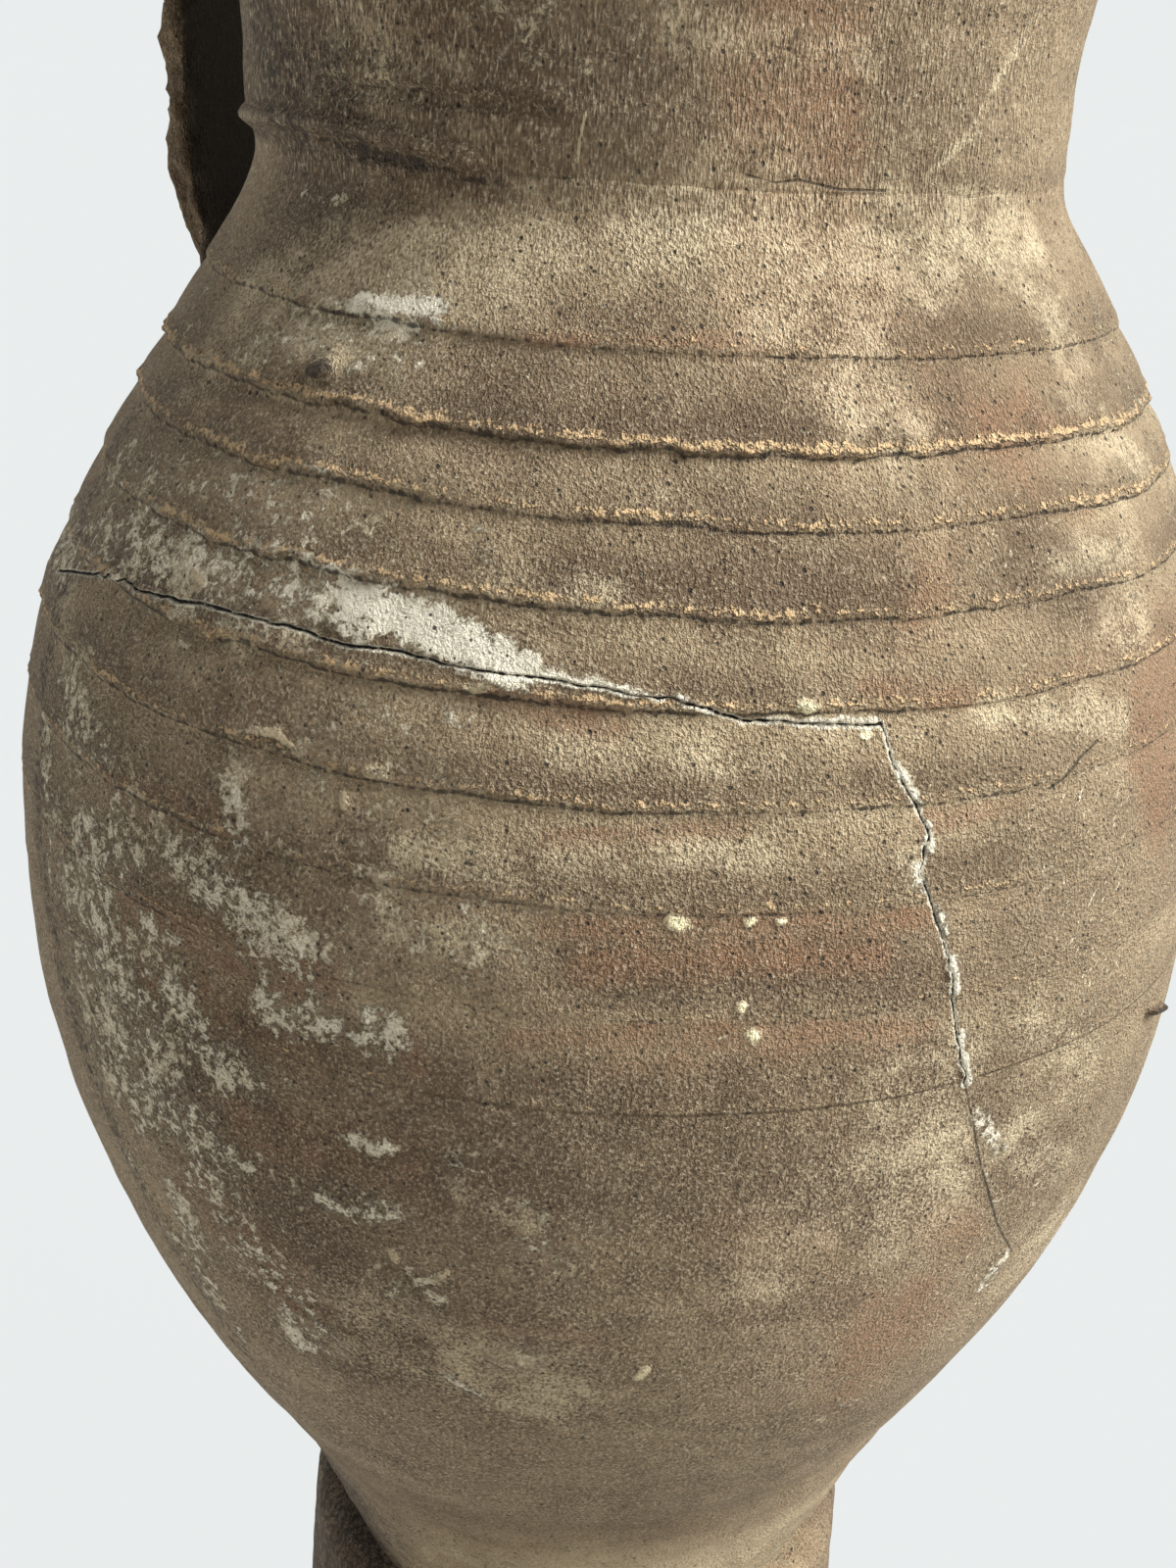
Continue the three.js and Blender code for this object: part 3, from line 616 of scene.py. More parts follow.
dome_rise = CURVE_PULL * (SHOULDER[1] - BELLY[1])
dome = bezier(
    BELLY, (BELLY[0], BELLY[1] + dome_rise), climb(SHOULDER, -SHOULDER_SLOPE, -dome_rise), SHOULDER, 80,
)
collar_corner = climb(SHOULDER, -SHOULDER_SLOPE, (SHOULDER[0] - COLLAR[0]) / sin(SHOULDER_SLOPE))
collar = bezier(SHOULDER, collar_corner, collar_corner, COLLAR, 16)
neck_rise = CURVE_PULL * (RIM_HEIGHT - COLLAR[1])
lip_centre = (NECK_FLARE - LIP_RADIUS / 2, RIM_HEIGHT - LIP_RADIUS)
flare = bezier(
    (NECK_WAIST, COLLAR[1] + 2 * LAP_HEIGHT), (NECK_WAIST, COLLAR[1] + neck_rise),
    (lip_centre[0], RIM_HEIGHT - neck_rise), (NECK_FLARE, RIM_HEIGHT - 2 * LIP_RADIUS), 52,
)
rim_top = [(NECK_FLARE, RIM_HEIGHT)]
wall_radius, wall_height = np.vstack((bowl_outside, dome[1:], collar[1:], flare, rim_top)).T


def on_wall(x, y):
    """The point of the jug's wall that shows at a pixel of the picture."""
    ray = forward * FOCAL_PIXELS + right * (x - IMAGE_WIDTH / 2) + up * (IMAGE_HEIGHT / 2 - y)
    path = np.array(eye) + np.arange(100, 520, 0.2)[:, None] * np.array(ray.normalized())
    gap = np.hypot(path[:, 0], path[:, 1]) - np.interp(path[:, 2], wall_height, wall_radius)
    return path[np.argmax(gap < 0) if (gap < 0).any() else np.argmin(gap)]


def flattened(points):
    """Points moved straight in or out to the smooth wall, so that marks are measured along it."""
    wall = np.interp(points[:, 2], wall_height, wall_radius)
    return push_out(points, wall - np.hypot(points[:, 0], points[:, 1]))


def away_from(points, line, spacing=14, jag=0):
    """Distance of each point from a line drawn on the picture, which may be made jagged."""
    nearest = np.full(len(points), 1e3)
    pixels = resample(line, spacing)
    spots = np.column_stack((pixels, np.zeros(len(pixels))))
    pixels += jag * np.column_stack((rough(spots, 12, 2, 71), rough(spots, 12, 2, 72)))
    wall = [on_wall(*pixel) for pixel in pixels]
    reach = 30
    low, high = np.min(wall, axis=0) - reach, np.max(wall, axis=0) + reach
    close = ((points > low) & (points < high)).all(axis=1)
    for start, end in zip(wall, wall[1:]):
        span = end - start
        share = np.clip((points[close] - start) @ span / (span @ span + 1e-9), 0, 1)
        gap = np.linalg.norm(points[close] - start - share[:, None] * span, axis=1)
        nearest[close] = np.minimum(nearest[close], gap)
    return nearest


def strokes(points, marks):
    """A soft mask of brush-like marks: each has a weight, a radius in pixels and the pixels of its line."""
    mask = np.zeros(len(points))
    for weight, size, line in marks:
        depth = (on_wall(*line[0]) - np.array(eye)) @ np.array(forward)
        share = away_from(points, line) / (size * depth / FOCAL_PIXELS)
        mask = np.maximum(mask, weight * np.clip(1.4 - share, 0, 1))
    return mask


def lean(points, outer):
    """The shoulder was pushed a little to one side while it was soft."""
    moved = points.copy()
    moved[:, :2] += (outer * np.interp(points[:, 2], LEAN_HEIGHTS, LEAN))[:, None] * LEAN_WAY
    return moved


def patches(points, size, seed, threshold):
    """Loose patches of colour all round the jug."""
    return np.clip(1.5 * rough(points, size, 2, seed) - threshold, 0, 1)


def off_crack(points):
    """Distance from the crack, which closes to a hairline as it runs down."""
    across = away_from(points, CRACK_ACROSS, 5, CRACK_JAG)
    down = away_from(points, CRACK_DOWN, 5, CRACK_JAG) + DOWN_CLOSED
    return np.min([across, down, away_from(points, CRACK_END, 5, CRACK_JAG) + END_CLOSED], axis=0)


def wall_fields(points, outer):
    """The marks that weathering and use have left, and painted light and shade, wherever they lie on the
    wall.
    """
    flat = flattened(points)
    crack = off_crack(flat)
    hair_and_crease_shade = np.min([away_from(flat, line) + 0.3 * (1 - weight) for weight, line in HAIRLINES_AND_CREASE_SHADE], axis=0)
    fields = {
        "crack": np.maximum(0, CRACK_REACH - crack),
        "hair_and_crease_shade": np.maximum(0, HAIR_REACH - hair_and_crease_shade),
        "lime": np.maximum(strokes(flat, LIME_STROKES), np.clip(0.5 * rough(points, 50, 2, 11), 0, 0.3)),
        "nodule": strokes(flat, NODULE_STROKES),
        "lichen": np.maximum(strokes(flat, LICHEN_STROKES), 0.75 * strokes(flat, CHIP_STROKES)),
        "scratch": strokes(flat, SCRATCH_STROKES),
        "red": np.maximum(strokes(flat, RED_STROKES), patches(points, 50, 12, 0.4)),
        "cream_and_highlight": np.maximum(strokes(flat, CREAM_STROKES), patches(points, 40, 13, 0.5)),
        "stain_and_shade": np.maximum(strokes(flat, STAIN_AND_SHADE_STROKES), patches(points, 36, 14, 0.4)),
    }
    # Painted light and shade of the grain, graded up on the jug's left and towards its bottom and neck.
    wear_and_grain_shade = 0.35 - 0.6 * np.sin(turn_from_front(points)) + np.interp(points[:, 2], WEAR_AND_GRAIN_SHADE_HEIGHTS, WEAR_AND_GRAIN_SHADE)
    fields["wear_and_grain_shade"] = np.clip(wear_and_grain_shade, 0, 1.4)
    fields["lime"] *= 1 - np.clip(1.5 * fields["nodule"], 0, 1)
    # Painted shade: the shade strokes lower the tone, and the strokes on the next line lay a dark wash of
    # painted shade; nodules are darker clay.
    fields["tone_and_shade"] = -0.5 * fields["nodule"] - strokes(flat, SHADE_STROKES)
    fields["shade_and_dark_nodules"] = np.maximum(fields["nodule"], strokes(flat, PAINTED_SHADE_STROKES))
    fade = outer * np.interp(points[:, 2], [CREASE[1], CREASE[1] + 10], [0, 1])
    return {name: values * fade for name, values in fields.items()}


def crust(points, fields):
    """How far lime and lichen stand out from the wall."""
    flaky = 0.3 + 0.35 * rough(points, 3, 2, 81)
    return flaky * np.clip(2 * fields["lime"] - 0.5, 0, 1) + 0.4 * fields["lichen"] + 1.8 * fields["nodule"]


def groove(fields):
    """How deep the crack is cut."""
    return 0.5 * np.clip((fields["crack"] - 3.6) / 0.3, 0, 1)


def refine_marks(bm):
    """More mesh along the crack and round the small marks."""
    flat = flattened(points_of(bm))
    near = off_crack(flat) < CRACK_MESH
    for weight, size, line in LICHEN_STROKES + CHIP_STROKES + NODULE_STROKES:
        near |= away_from(flat, line) < MARK_MESH
    for weight, line in HAIRLINES_AND_CREASE_SHADE:
        near |= away_from(flat, line) < HAIR_MESH
    edges = [e for e in bm.edges if near[e.verts[0].index] and near[e.verts[1].index]]
    bmesh.ops.subdivide_edges(bm, edges=edges, cuts=4, use_grid_fill=True)
    bm.verts.index_update()


body_stoneware = stoneware("body_stoneware")
bowl_inside = shifted(bowl_outside[1:], -BODY_WALL)
bowl_inside = np.vstack(([0, BOWL_BOTTOM + BODY_WALL], bowl_inside[bowl_inside[:, 0] > 3]))
rim_middle = BELLY[0] - BODY_WALL / 2
tongue_top = BELLY[1] + LAP_HEIGHT
lower_outline = np.vstack((
    bowl_bottom[::4], resample(bowl_side, 1.1)[1:],
    [(rim_middle, BELLY[1]), (rim_middle, tongue_top), (BELLY[0] - BODY_WALL, tongue_top)],
    bowl_inside[::-4],
))
lower_bm = turned(lower_outline, BODY_STEPS, closed=False)
refine_marks(lower_bm)
lower_points = points_of(lower_bm)
lower_wall = np.interp(lower_points[:, 2], bowl_outside[:, 1], bowl_outside[:, 0])
lower_outer = np.hypot(lower_points[:, 0], lower_points[:, 1]) > lower_wall - BODY_WALL / 3
lower_outer &= lower_points[:, 2] <= BELLY[1]
lower_fields = wall_fields(lower_points, lower_outer)
lower_full = np.interp(lower_points[:, 2], FULL_HEIGHTS, FULL)
lower_rise = unevenness(lower_points) + lower_full + crust(lower_points, lower_fields) - groove(lower_fields)
place(lower_bm, push_out(lower_points, lower_outer * lower_rise))
finish_piece("bowl", lower_bm, lower_fields, body_stoneware, "body_clay", "lower_body")

# Upper body: a dome thrown by itself and turned over the bowl's tongue. The thrower's fingers left the
# rilling: bands that swell downwards to a ragged lip of clay, where the fine slip has worn off orange.
RIDGES = [318, 306, 297, 286, 274, 261, 247, 231]
RIDGE_DEPTHS = [0.75, 1.0, 0.6, 0.65, 0.8, 0.45, 0.3, 0.15]
RIDGE_RAGS = [0.52, 1.0, 0.68, 0.6, 0.66, 0.5, 0.42, 0.36, 0.3]
RIDGE_LEDGE = 1.8
GIRTH_LEDGE = [(0, -1), (0.6, -1)]
ROW_SPACING = 1.1
RIDGE_SHADE_HEIGHTS = [-9, -2, -1, 1, 2, 8]
RIDGE_SHADE = [0, 0.09, 0.11, -0.11, -0.1, 0]
LEDGE = [(0, 0), (0.4, 0.1), (0.8, 0.45), (1.2, 0.85), (RIDGE_LEDGE, 1)]

upper_rows = [SHOULDER]
band_top = SHOULDER[1]
hollow = 0
for ridge, depth in [*zip(RIDGES, RIDGE_DEPTHS), (BELLY[1], SMEAR)]:
    rows = int((band_top - ridge) / ROW_SPACING)
    for row in range(rows - 1, 0, -1):
        height = ridge + (band_top - ridge) * (row / rows) ** 1.4
        share = (band_top - height) / (band_top - ridge)
        sunk = hollow * max(0, 1 - 1.5 * share) ** 1.5
        upper_rows.append((np.interp(height, dome[:, 1], dome[:, 0]) - sunk, height))
    for drop, sink in LEDGE if ridge > BELLY[1] else GIRTH_LEDGE:
        upper_rows.append((np.interp(ridge - drop, dome[:, 1], dome[:, 0]) - sink * depth, ridge - drop))
    band_top = ridge - RIDGE_LEDGE
    hollow = depth
shoulder_inside = shifted(np.vstack((dome, collar[1:])), -BODY_WALL)
shelf = tongue_top + JOINT_GAP
shoulder_wall = shoulder_inside[(shoulder_inside[:, 1] > shelf) & (shoulder_inside[:, 1] < COLLAR[1])][::8]
collar_tongue = COLLAR[0] - BODY_WALL / 2
collar_top = COLLAR[1] + LAP_HEIGHT
tongue_fit = rim_middle + JOINT_GAP
upper_outline = np.vstack((
    upper_rows[::-1], collar[2::2],
    [(collar_tongue, COLLAR[1]), (collar_tongue, collar_top), (COLLAR[0] - BODY_WALL, collar_top)],
    shoulder_wall[::-1],
    [(BELLY[0] - BODY_WALL, shelf), (tongue_fit, shelf), (tongue_fit, BELLY[1] + JOINT_GAP)],
))
upper_bm = turned(upper_outline, BODY_STEPS)
refine_marks(upper_bm)
upper_points = points_of(upper_bm)
upper_height = upper_points[:, 2].copy()
upper_wall = np.interp(upper_height, wall_height, wall_radius)
upper_outer = np.hypot(upper_points[:, 0], upper_points[:, 1]) > upper_wall - BODY_WALL / 3
upper_outer &= upper_height <= COLLAR[1]
upper_fields = wall_fields(upper_points, upper_outer)
crest_mask = np.zeros(len(upper_points))
ridge_shadow_mask = np.zeros(len(upper_points))
lip_out = np.zeros(len(upper_points))
lip_down = np.zeros(len(upper_points))
band_tone = np.zeros(len(upper_points))
ragged = rough(upper_points, 2.6, 2, 21)
patchy = rough(upper_points, 26, 2, 22)
left_side = np.clip(-np.sin(turn_from_front(upper_points)), 0, 1)
flaps = rough(upper_points * (1, 1, 0.2), 14, 1, 23)
for ridge, rag in zip([*RIDGES, BELLY[1]], RIDGE_RAGS):
    above = upper_height - ridge
    crest = np.clip(1 - np.abs(above - 0.4) / np.where(above > 0.4, 0.7 + 1.2 * rag, 0.9), 0, 1)
    strength = np.clip(rag * (1.0 + 0.4 * patchy) * (1 + 0.6 * left_side), 0.05, 1.2)
    crest_mask = np.maximum(crest_mask, crest * np.clip(0.05 + strength, 0, 1))
    # A painted shadow just below each ridge's lip, darker where the ridge is stronger.
    below = np.clip(1 - np.abs(above + 0.7) / 0.8, 0, 1)
    ridge_shadow_mask = np.maximum(ridge_shadow_mask, below * np.clip(0.3 + strength, 0, 1))
    lip_out += (0.3 + 0.8 * rag) * strength * crest * (0.2 + 0.9 * ragged)
    lip_down += strength * np.clip(1 - np.abs(above) / 3, 0, 1) * (0.6 * ragged + 1.1 * flaps)
    band_tone += (0.5 + 0.7 * rag) * np.interp(above, RIDGE_SHADE_HEIGHTS, RIDGE_SHADE)
upper_fields["tone_and_shade"] += upper_outer * band_tone * np.clip(0.7 + 0.8 * patchy, 0.2, 1.3)
upper_fields["crest"] = crest_mask * upper_outer
upper_fields["shade_and_dark_nodules"] = np.maximum(upper_fields["shade_and_dark_nodules"], ridge_shadow_mask * upper_outer)
upper_rise = unevenness(upper_points) + lip_out + crust(upper_points, upper_fields) - groove(upper_fields)
upper_moved = lean(push_out(upper_points, upper_outer * upper_rise), upper_outer)
seam_ease = np.interp(upper_height, [BELLY[1], BELLY[1] + 2, COLLAR[1] - 6, COLLAR[1]], [0, 1, 1, 0])
wobble = 1.2 * rough(upper_points * (1, 1, 0.6), 70, 1, 24)
upper_moved[:, 2] += upper_outer * seam_ease * (wobble - lip_down)
place(upper_bm, upper_moved)
finish_piece("shoulder_dome", upper_bm, upper_fields, body_stoneware, "body_clay", "upper_body")

# Neck: thrown separately, lapped over the collar and luted on, so that its skirt ends in a soft fold that is
# smeared out here and there. It flares to a rolled lip.
NECK_STEPS = 480
NECK_SKIRT = 68.9
NECK_WALL = 7.5
LIP_STROKES = [
    (1, 9, [(252, 116), (322, 124), (380, 136), (430, 148), (480, 164)]),
    (0.4, 8, [(330, 68), (560, 98)]),
]
FOLD_STROKES = [
    (1, 12, [(335, 147), (380, 157), (430, 169), (495, 187)]), (0.4, 18, [(320, 165), (470, 196)]),
    (0.3, 6, [(757, 182), (900, 199)]), (0.5, 9, [(330, 84), (560, 114)]),
    (0.2, 6, [(900, 199), (1030, 199)]),
]

neck_inside = shifted(flare, -NECK_WALL)
neck_shelf = collar_top + JOINT_GAP
neck_socket = collar_tongue + JOINT_GAP
neck_outline = np.vstack((
    bezier((COLLAR[0] - 0.3, COLLAR[1] - 2), COLLAR, (NECK_SKIRT, COLLAR[1] + 4), flare[0], 18),
    flare[1:],
    arc(lip_centre, LIP_RADIUS, -pi / 4, pi, 26),
    neck_inside[::-3],
    [(neck_inside[0][0], neck_shelf), (neck_socket, neck_shelf), (neck_socket, COLLAR[1] + JOINT_GAP)],
))
neck_bm = turned(neck_outline, NECK_STEPS)
refine_marks(neck_bm)
neck_points = points_of(neck_bm)
neck_height = neck_points[:, 2].copy()
neck_outer = np.hypot(neck_points[:, 0], neck_points[:, 1]) > NECK_WAIST - NECK_WALL / 3
neck_outer &= neck_height < RIM_HEIGHT - 1
neck_fields = wall_fields(neck_points, neck_outer)
neck_flat = flattened(neck_points)
folded = strokes(neck_flat, FOLD_STROKES) * neck_outer
folded *= np.interp(neck_height, [COLLAR[1], COLLAR[1] + 4], [0, 1])
lipped = strokes(neck_flat, LIP_STROKES) * neck_outer
skirt = np.interp(neck_height, [COLLAR[1] - 2, COLLAR[1] + 2, COLLAR[1] + 8], [0, 1, 0])
folds = skirt * (0.4 * rough(neck_points * (1, 1, 0.3), 16, 2, 31) + 0.2 * rough(neck_points, 3.5, 1, 32))
turning = 0.15 * rough(neck_points * (0.05, 0.05, 1), 3.5, 2, 33) * (neck_height > COLLAR[1])
# Painted shade in the fold's recess and on the left of the neck, and a painted highlight along the raised
# lip.
neck_fields["stain_and_shade"] = np.maximum(neck_fields["stain_and_shade"], folded)
neck_fields["tone_and_shade"] -= neck_outer * 0.35 * np.clip(-np.sin(turn_from_front(neck_points)), 0, 1)
neck_fields["cream_and_highlight"] = np.maximum(neck_fields["cream_and_highlight"], 0.7 * lipped)
neck_rise_out = unevenness(neck_points) + folds + turning + 1.6 * lipped - 1.5 * folded
place(neck_bm, lean(push_out(neck_points, neck_outer * neck_rise_out), neck_outer))
finish_piece("neck_flare", neck_bm, neck_fields, stoneware("neck_stoneware"), "neck_clay", "neck")

# Handle strap: a flat strap pulled from a lump of wet clay, pressed on to the neck, bent over and pressed
# on to the shoulder. Its edges are notched and carry a painted highlight; its inner face and underside are
# dark with painted shade.
STRAP_WIDTH = 42
STRAP_THICKNESS = 10
STRAP_BULGE = 2.5
STRAP_NOTCH = 14
STRAP_CROWN = 1.5
STRAP_REACH = 102
STRAP_TOP = (73.2, 383)
STRAP_BEND_HEIGHT = 357
STRAP_RISE = 4
STRAP_ROOT = (89.2, 296)
STRAP_ROOT_SLOPE = radians(35)
STRAP_BULGE_HEIGHTS = [STRAP_ROOT[1], 320, 374, STRAP_TOP[1]]
STRAP_STATIONS = 70
STRAP_SIDES = 72

strap_drop = STRAP_BEND_HEIGHT - STRAP_ROOT[1]
strap_crest = STRAP_TOP[1] + STRAP_RISE
strap_line = np.vstack((
    bezier(
        (STRAP_TOP[0] - STRAP_THICKNESS / 2, STRAP_TOP[1]), (STRAP_REACH - STRAP_THICKNESS, strap_crest),
        (STRAP_REACH, strap_crest), (STRAP_REACH, STRAP_BEND_HEIGHT), STRAP_STATIONS // 2,
    ),
    bezier(
        (STRAP_REACH, STRAP_BEND_HEIGHT), (STRAP_REACH, STRAP_BEND_HEIGHT - CURVE_PULL * strap_drop),
        climb(STRAP_ROOT, STRAP_ROOT_SLOPE, CURVE_PULL * strap_drop),
        climb(STRAP_ROOT, STRAP_ROOT_SLOPE, -STRAP_THICKNESS / 2), STRAP_STATIONS // 2,
    )[1:],
))
strap_along = np.gradient(strap_line, axis=0)
strap_along /= np.hypot(*strap_along.T)[:, None]
strap_out = np.column_stack((-strap_along[:, 1], strap_along[:, 0]))
turns = np.linspace(0, 2 * pi, STRAP_SIDES, endpoint=False)
across = STRAP_WIDTH / 2 * np.sign(np.cos(turns)) * np.abs(np.cos(turns)) ** 0.45
through = STRAP_THICKNESS / 2 * np.sign(np.sin(turns)) * np.abs(np.sin(turns)) ** 0.6
through += STRAP_CROWN * np.clip(np.sin(turns), 0, 1) * (1 - (across / STRAP_WIDTH * 2) ** 2)


def strap_ring(station):
    middle = strap_line[station] + through[:, None] * strap_out[station]
    return np.column_stack((-middle[:, 0], across, middle[:, 1]))


strap_bm = bmesh.new()
ring = bmesh.ops.create_circle(strap_bm, segments=STRAP_SIDES, radius=1)["verts"]
ring_edges = strap_bm.edges[:]
for vert, point in zip(ring, strap_ring(0)):
    vert.co = point
for station in range(1, len(strap_line)):
    grown = bmesh.ops.extrude_edge_only(strap_bm, edges=ring_edges)["geom"]
    ring = [g for g in grown if isinstance(g, bmesh.types.BMVert)]
    ring_edges = [g for g in grown if isinstance(g, bmesh.types.BMEdge) and g.is_boundary]
    for vert, point in zip(ring, strap_ring(station)):
        vert.co = point
bmesh.ops.holes_fill(strap_bm, edges=[e for e in strap_bm.edges if e.is_boundary])
bmesh.ops.recalc_face_normals(strap_bm, faces=strap_bm.faces)
strap_bm.normal_update()
strap_bm.verts.index_update()
strap_points = points_of(strap_bm)
strap_normals = np.array([v.normal[:] for v in strap_bm.verts])
strap_lumps = 0.7 * rough(strap_points, 18, 2, 41) + 0.35 * rough(strap_points, 4, 2, 42)
strap_edge = np.clip(np.abs(strap_points[:, 1]) / STRAP_WIDTH * 2 - 0.8, 0, 1)
strap_notch = strap_edge * STRAP_NOTCH * rough(strap_points, 4, 2, 43)
strap_moved = strap_points + strap_normals * (strap_lumps + strap_notch)[:, None]
strap_moved[:, 0] -= STRAP_BULGE * np.interp(strap_points[:, 2], STRAP_BULGE_HEIGHTS, [0, 1, 1, 0])
place(strap_bm, strap_moved)
strap_inner = np.clip(2 * np.maximum(strap_normals[:, 0], -strap_normals[:, 2]) - 1.0, 0, 1)
# A painted highlight along both edges, and painted shade on the inner face and underside, which also lowers
# their tone; the stains are the strap's own.
strap_fields = {
    "cream_and_highlight": np.clip(2 * np.abs(strap_points[:, 1]) / STRAP_WIDTH - 0.6, 0, 1),
    "stain_and_shade": np.clip(0.5 + rough(strap_points, 20, 2, 44), 0, 1),
    "shade_and_dark_nodules": 1.4 * strap_inner,
    "tone_and_shade": -0.15 - 0.3 * strap_inner,
}
handle_stoneware = stoneware("handle_stoneware")
finish_piece("strap", strap_bm, strap_fields, handle_stoneware, "handle_clay", "handle_strap")

# Handle pads: wads of the same clay, thumbed round both ends of the strap and flattened against the wall.
PAD_MARGIN = 7
PAD_THICKNESS = 8
PAD_SINK = 4

for name, (radius, height), tilt, node in (
    ("upper_wad", STRAP_TOP, 0, "handle_upper_pad"),
    ("lower_wad", STRAP_ROOT, SHOULDER_SLOPE, "handle_lower_pad"),
):
    pad_bm = bmesh.new()
    bmesh.ops.create_uvsphere(pad_bm, u_segments=72, v_segments=48, radius=1)
    sizes = (PAD_THICKNESS + PAD_SINK, STRAP_WIDTH / 2 + PAD_MARGIN, STRAP_THICKNESS / 2 + PAD_MARGIN)
    bmesh.ops.scale(pad_bm, vec=sizes, verts=pad_bm.verts)
    bmesh.ops.translate(pad_bm, vec=(PAD_SINK, 0, 0), verts=pad_bm.verts)
    bmesh.ops.rotate(pad_bm, matrix=Matrix.Rotation(tilt, 3, "Y"), verts=pad_bm.verts)
    bmesh.ops.translate(pad_bm, vec=(-radius, 0, height), verts=pad_bm.verts)
    pad_bm.normal_update()
    pad_bm.verts.index_update()
    pad_points = points_of(pad_bm)
    pad_normals = np.array([v.normal[:] for v in pad_bm.verts])
    dents = 0.9 * rough(pad_points, 13, 2, 51) + 0.3 * rough(pad_points, 4, 2, 52)
    pad_points += pad_normals * dents[:, None]
    buried = np.interp(pad_points[:, 2], wall_height, wall_radius) - NECK_WALL / 2
    lifted = np.maximum(0, buried - np.hypot(pad_points[:, 0], pad_points[:, 1]))
    place(pad_bm, push_out(pad_points, lifted))
    pad_fields = {"stain_and_shade": np.clip(0.5 + rough(pad_points, 20, 2, 53), 0, 1)}
    finish_piece(name, pad_bm, pad_fields, handle_stoneware, "handle_clay", node)

# Luting coils: ropes of soft clay pressed over the joints inside the jug and under the bowl, and smeared flat
# by hand where the arm could reach.
COIL_STEPS = 240
COIL_HEIGHT = 17
COIL_THICKNESS = 4
FOOT_COIL = (51.4, 76.8)
FOOT_COIL_RADIUS = 5.5

luting_clay = stoneware("luting_clay")
inner_wall = np.vstack((bowl_inside, shoulder_inside, neck_inside))
coil_seat = BODY_WALL + JOINT_GAP
coil_arc = arc((0, 0), 1, pi / 2, 3 * pi / 2, 12) * (COIL_THICKNESS, COIL_HEIGHT / 2)
for name, centre, outline, node in (
    ("girth_smear", (0, 0), coil_arc + (BELLY[0] - coil_seat, BELLY[1] + LAP_HEIGHT / 2), "girth_coil"),
    ("neck_smear", (0, 0), coil_arc + (COLLAR[0] - coil_seat, COLLAR[1] + LAP_HEIGHT / 2), "neck_coil"),
    ("foot_smear", FOOT_SHIFT, arc(FOOT_COIL, FOOT_COIL_RADIUS, 0, 2 * pi, 16)[:-1], "foot_coil"),
):
    coil_bm = turned(outline, COIL_STEPS)
    coil_points = points_of(coil_bm)
    coil_points[:, :2] += centre
    thumbed = np.maximum(0, rough(coil_points, 12, 2, 61))
    if node != "foot_coil":
        wall_inside = np.interp(coil_points[:, 2], inner_wall[:, 1], inner_wall[:, 0]) + SMEAR
        thumbed += wall_inside - outline[:, 0].max()
    place(coil_bm, push_out(coil_points, thumbed, centre))
    coil_fields = {"stain_and_shade": np.clip(rough(coil_points, 20, 2, 62), 0, 1)}
    finish_piece(name, coil_bm, coil_fields, luting_clay, "luting_clay", node)

# Floor and light: a round white dish under the jug that glows evenly, soft daylight from the right, and the
# light that a pale floor throws back up, which the world gives.
FLOOR_RADIUS = 8
FLOOR_EDGE = 12
FLOOR_SLOPE = 1.6
LIGHTS = [("key", 26, 42, 8, 30), ("fill", -98, 12, 0.28, 16)]
FRONT_SKY = (0.05, 0.049, 0.047, 1)
FAR_SKY = (0.6, 0.585, 0.55, 1)
FRONT_BOUNCE = (0.84, 0.785, 0.69, 1)
FAR_BOUNCE = (1.3, 1.27, 1.2, 1)

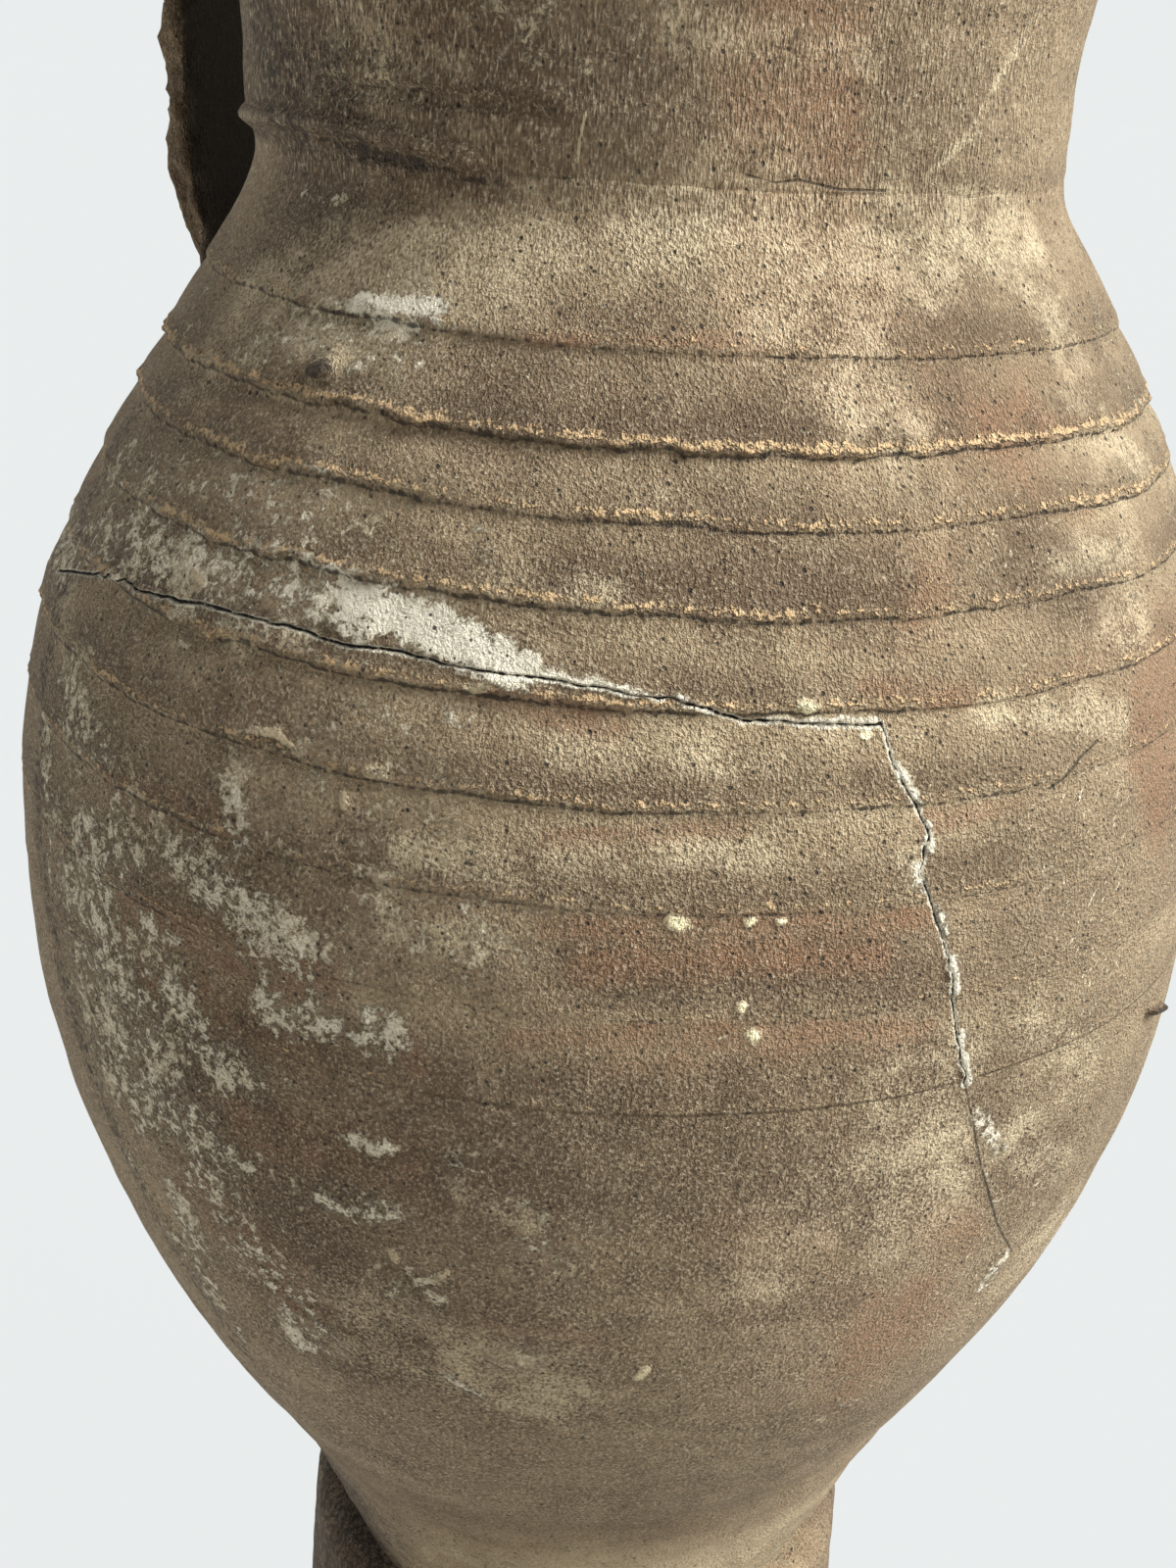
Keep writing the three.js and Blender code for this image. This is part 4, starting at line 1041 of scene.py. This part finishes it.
floor_bm = bmesh.new()
bmesh.ops.create_circle(floor_bm, cap_ends=True, segments=96, radius=FLOOR_RADIUS)
rim_edges = [e for e in floor_bm.edges if e.is_boundary]
raised = bmesh.ops.extrude_edge_only(floor_bm, edges=rim_edges)["geom"]
raised_verts = [g for g in raised if isinstance(g, bmesh.types.BMVert)]
bmesh.ops.translate(floor_bm, vec=(0, 0, FLOOR_EDGE), verts=raised_verts)
bmesh.ops.scale(floor_bm, vec=(FLOOR_SLOPE, FLOOR_SLOPE, 1), verts=raised_verts)
bmesh.ops.recalc_face_normals(floor_bm, faces=floor_bm.faces)
floor_mesh = bpy.data.meshes.new("floor")
floor_bm.to_mesh(floor_mesh)
floor_bm.free()
floor_material = bpy.data.materials.new("floor_white")
floor_material.use_nodes = True
floor_shader = floor_material.node_tree.nodes["Principled BSDF"]
floor_shader.inputs["Base Color"].default_value = (0.004, 0.004, 0.004, 1)
floor_shader.inputs["Specular IOR Level"].default_value = 0
floor_shader.inputs["Roughness"].default_value = 0.9
floor_shader.inputs["Emission Color"].default_value = (0.965, 1, 0.997, 1)
floor_shader.inputs["Emission Strength"].default_value = 0.84
floor_mesh.materials.append(floor_material)
floor = bpy.data.objects.new("floor", floor_mesh)
bpy.context.collection.objects.link(floor)
floor.visible_diffuse = False
floor.visible_shadow = False

for name, azimuth, elevation, energy, spread in LIGHTS:
    light_data = bpy.data.lights.new(name, "SUN")
    light_data.energy = energy
    light_data.angle = radians(spread)
    light = bpy.data.objects.new(name, light_data)
    light_from = Matrix.Rotation(radians(azimuth), 3, "Z") @ Vector((1, 0, tan(radians(elevation))))
    light.rotation_euler = light_from.to_track_quat("Z", "Y").to_euler()
    bpy.context.collection.objects.link(light)

world = bpy.data.worlds.new("studio")
world.use_nodes = True
way = Field(world.node_tree).node("ShaderNodeTexCoord", {}, {}, "Generated")
rising = way.node("ShaderNodeSeparateXYZ", {}, {"Vector": way}, "Z")
ahead = (cos(heading), sin(heading), 0)
away = way.node("ShaderNodeVectorMath", {"operation": "DOT_PRODUCT"}, {0: way, 1: ahead}, "Value")
round_jug = away.rise(-0.7, 0.6)
bounce = round_jug.mixed(FRONT_BOUNCE, FAR_BOUNCE)
glow = rising.rise(-0.2, 0.1).mixed(bounce, round_jug.mixed(FRONT_SKY, FAR_SKY))
world.node_tree.links.new(glow.socket, world.node_tree.nodes["Background"].inputs["Color"])
bpy.context.scene.world = world
bpy.context.scene.view_settings.view_transform = "Standard"
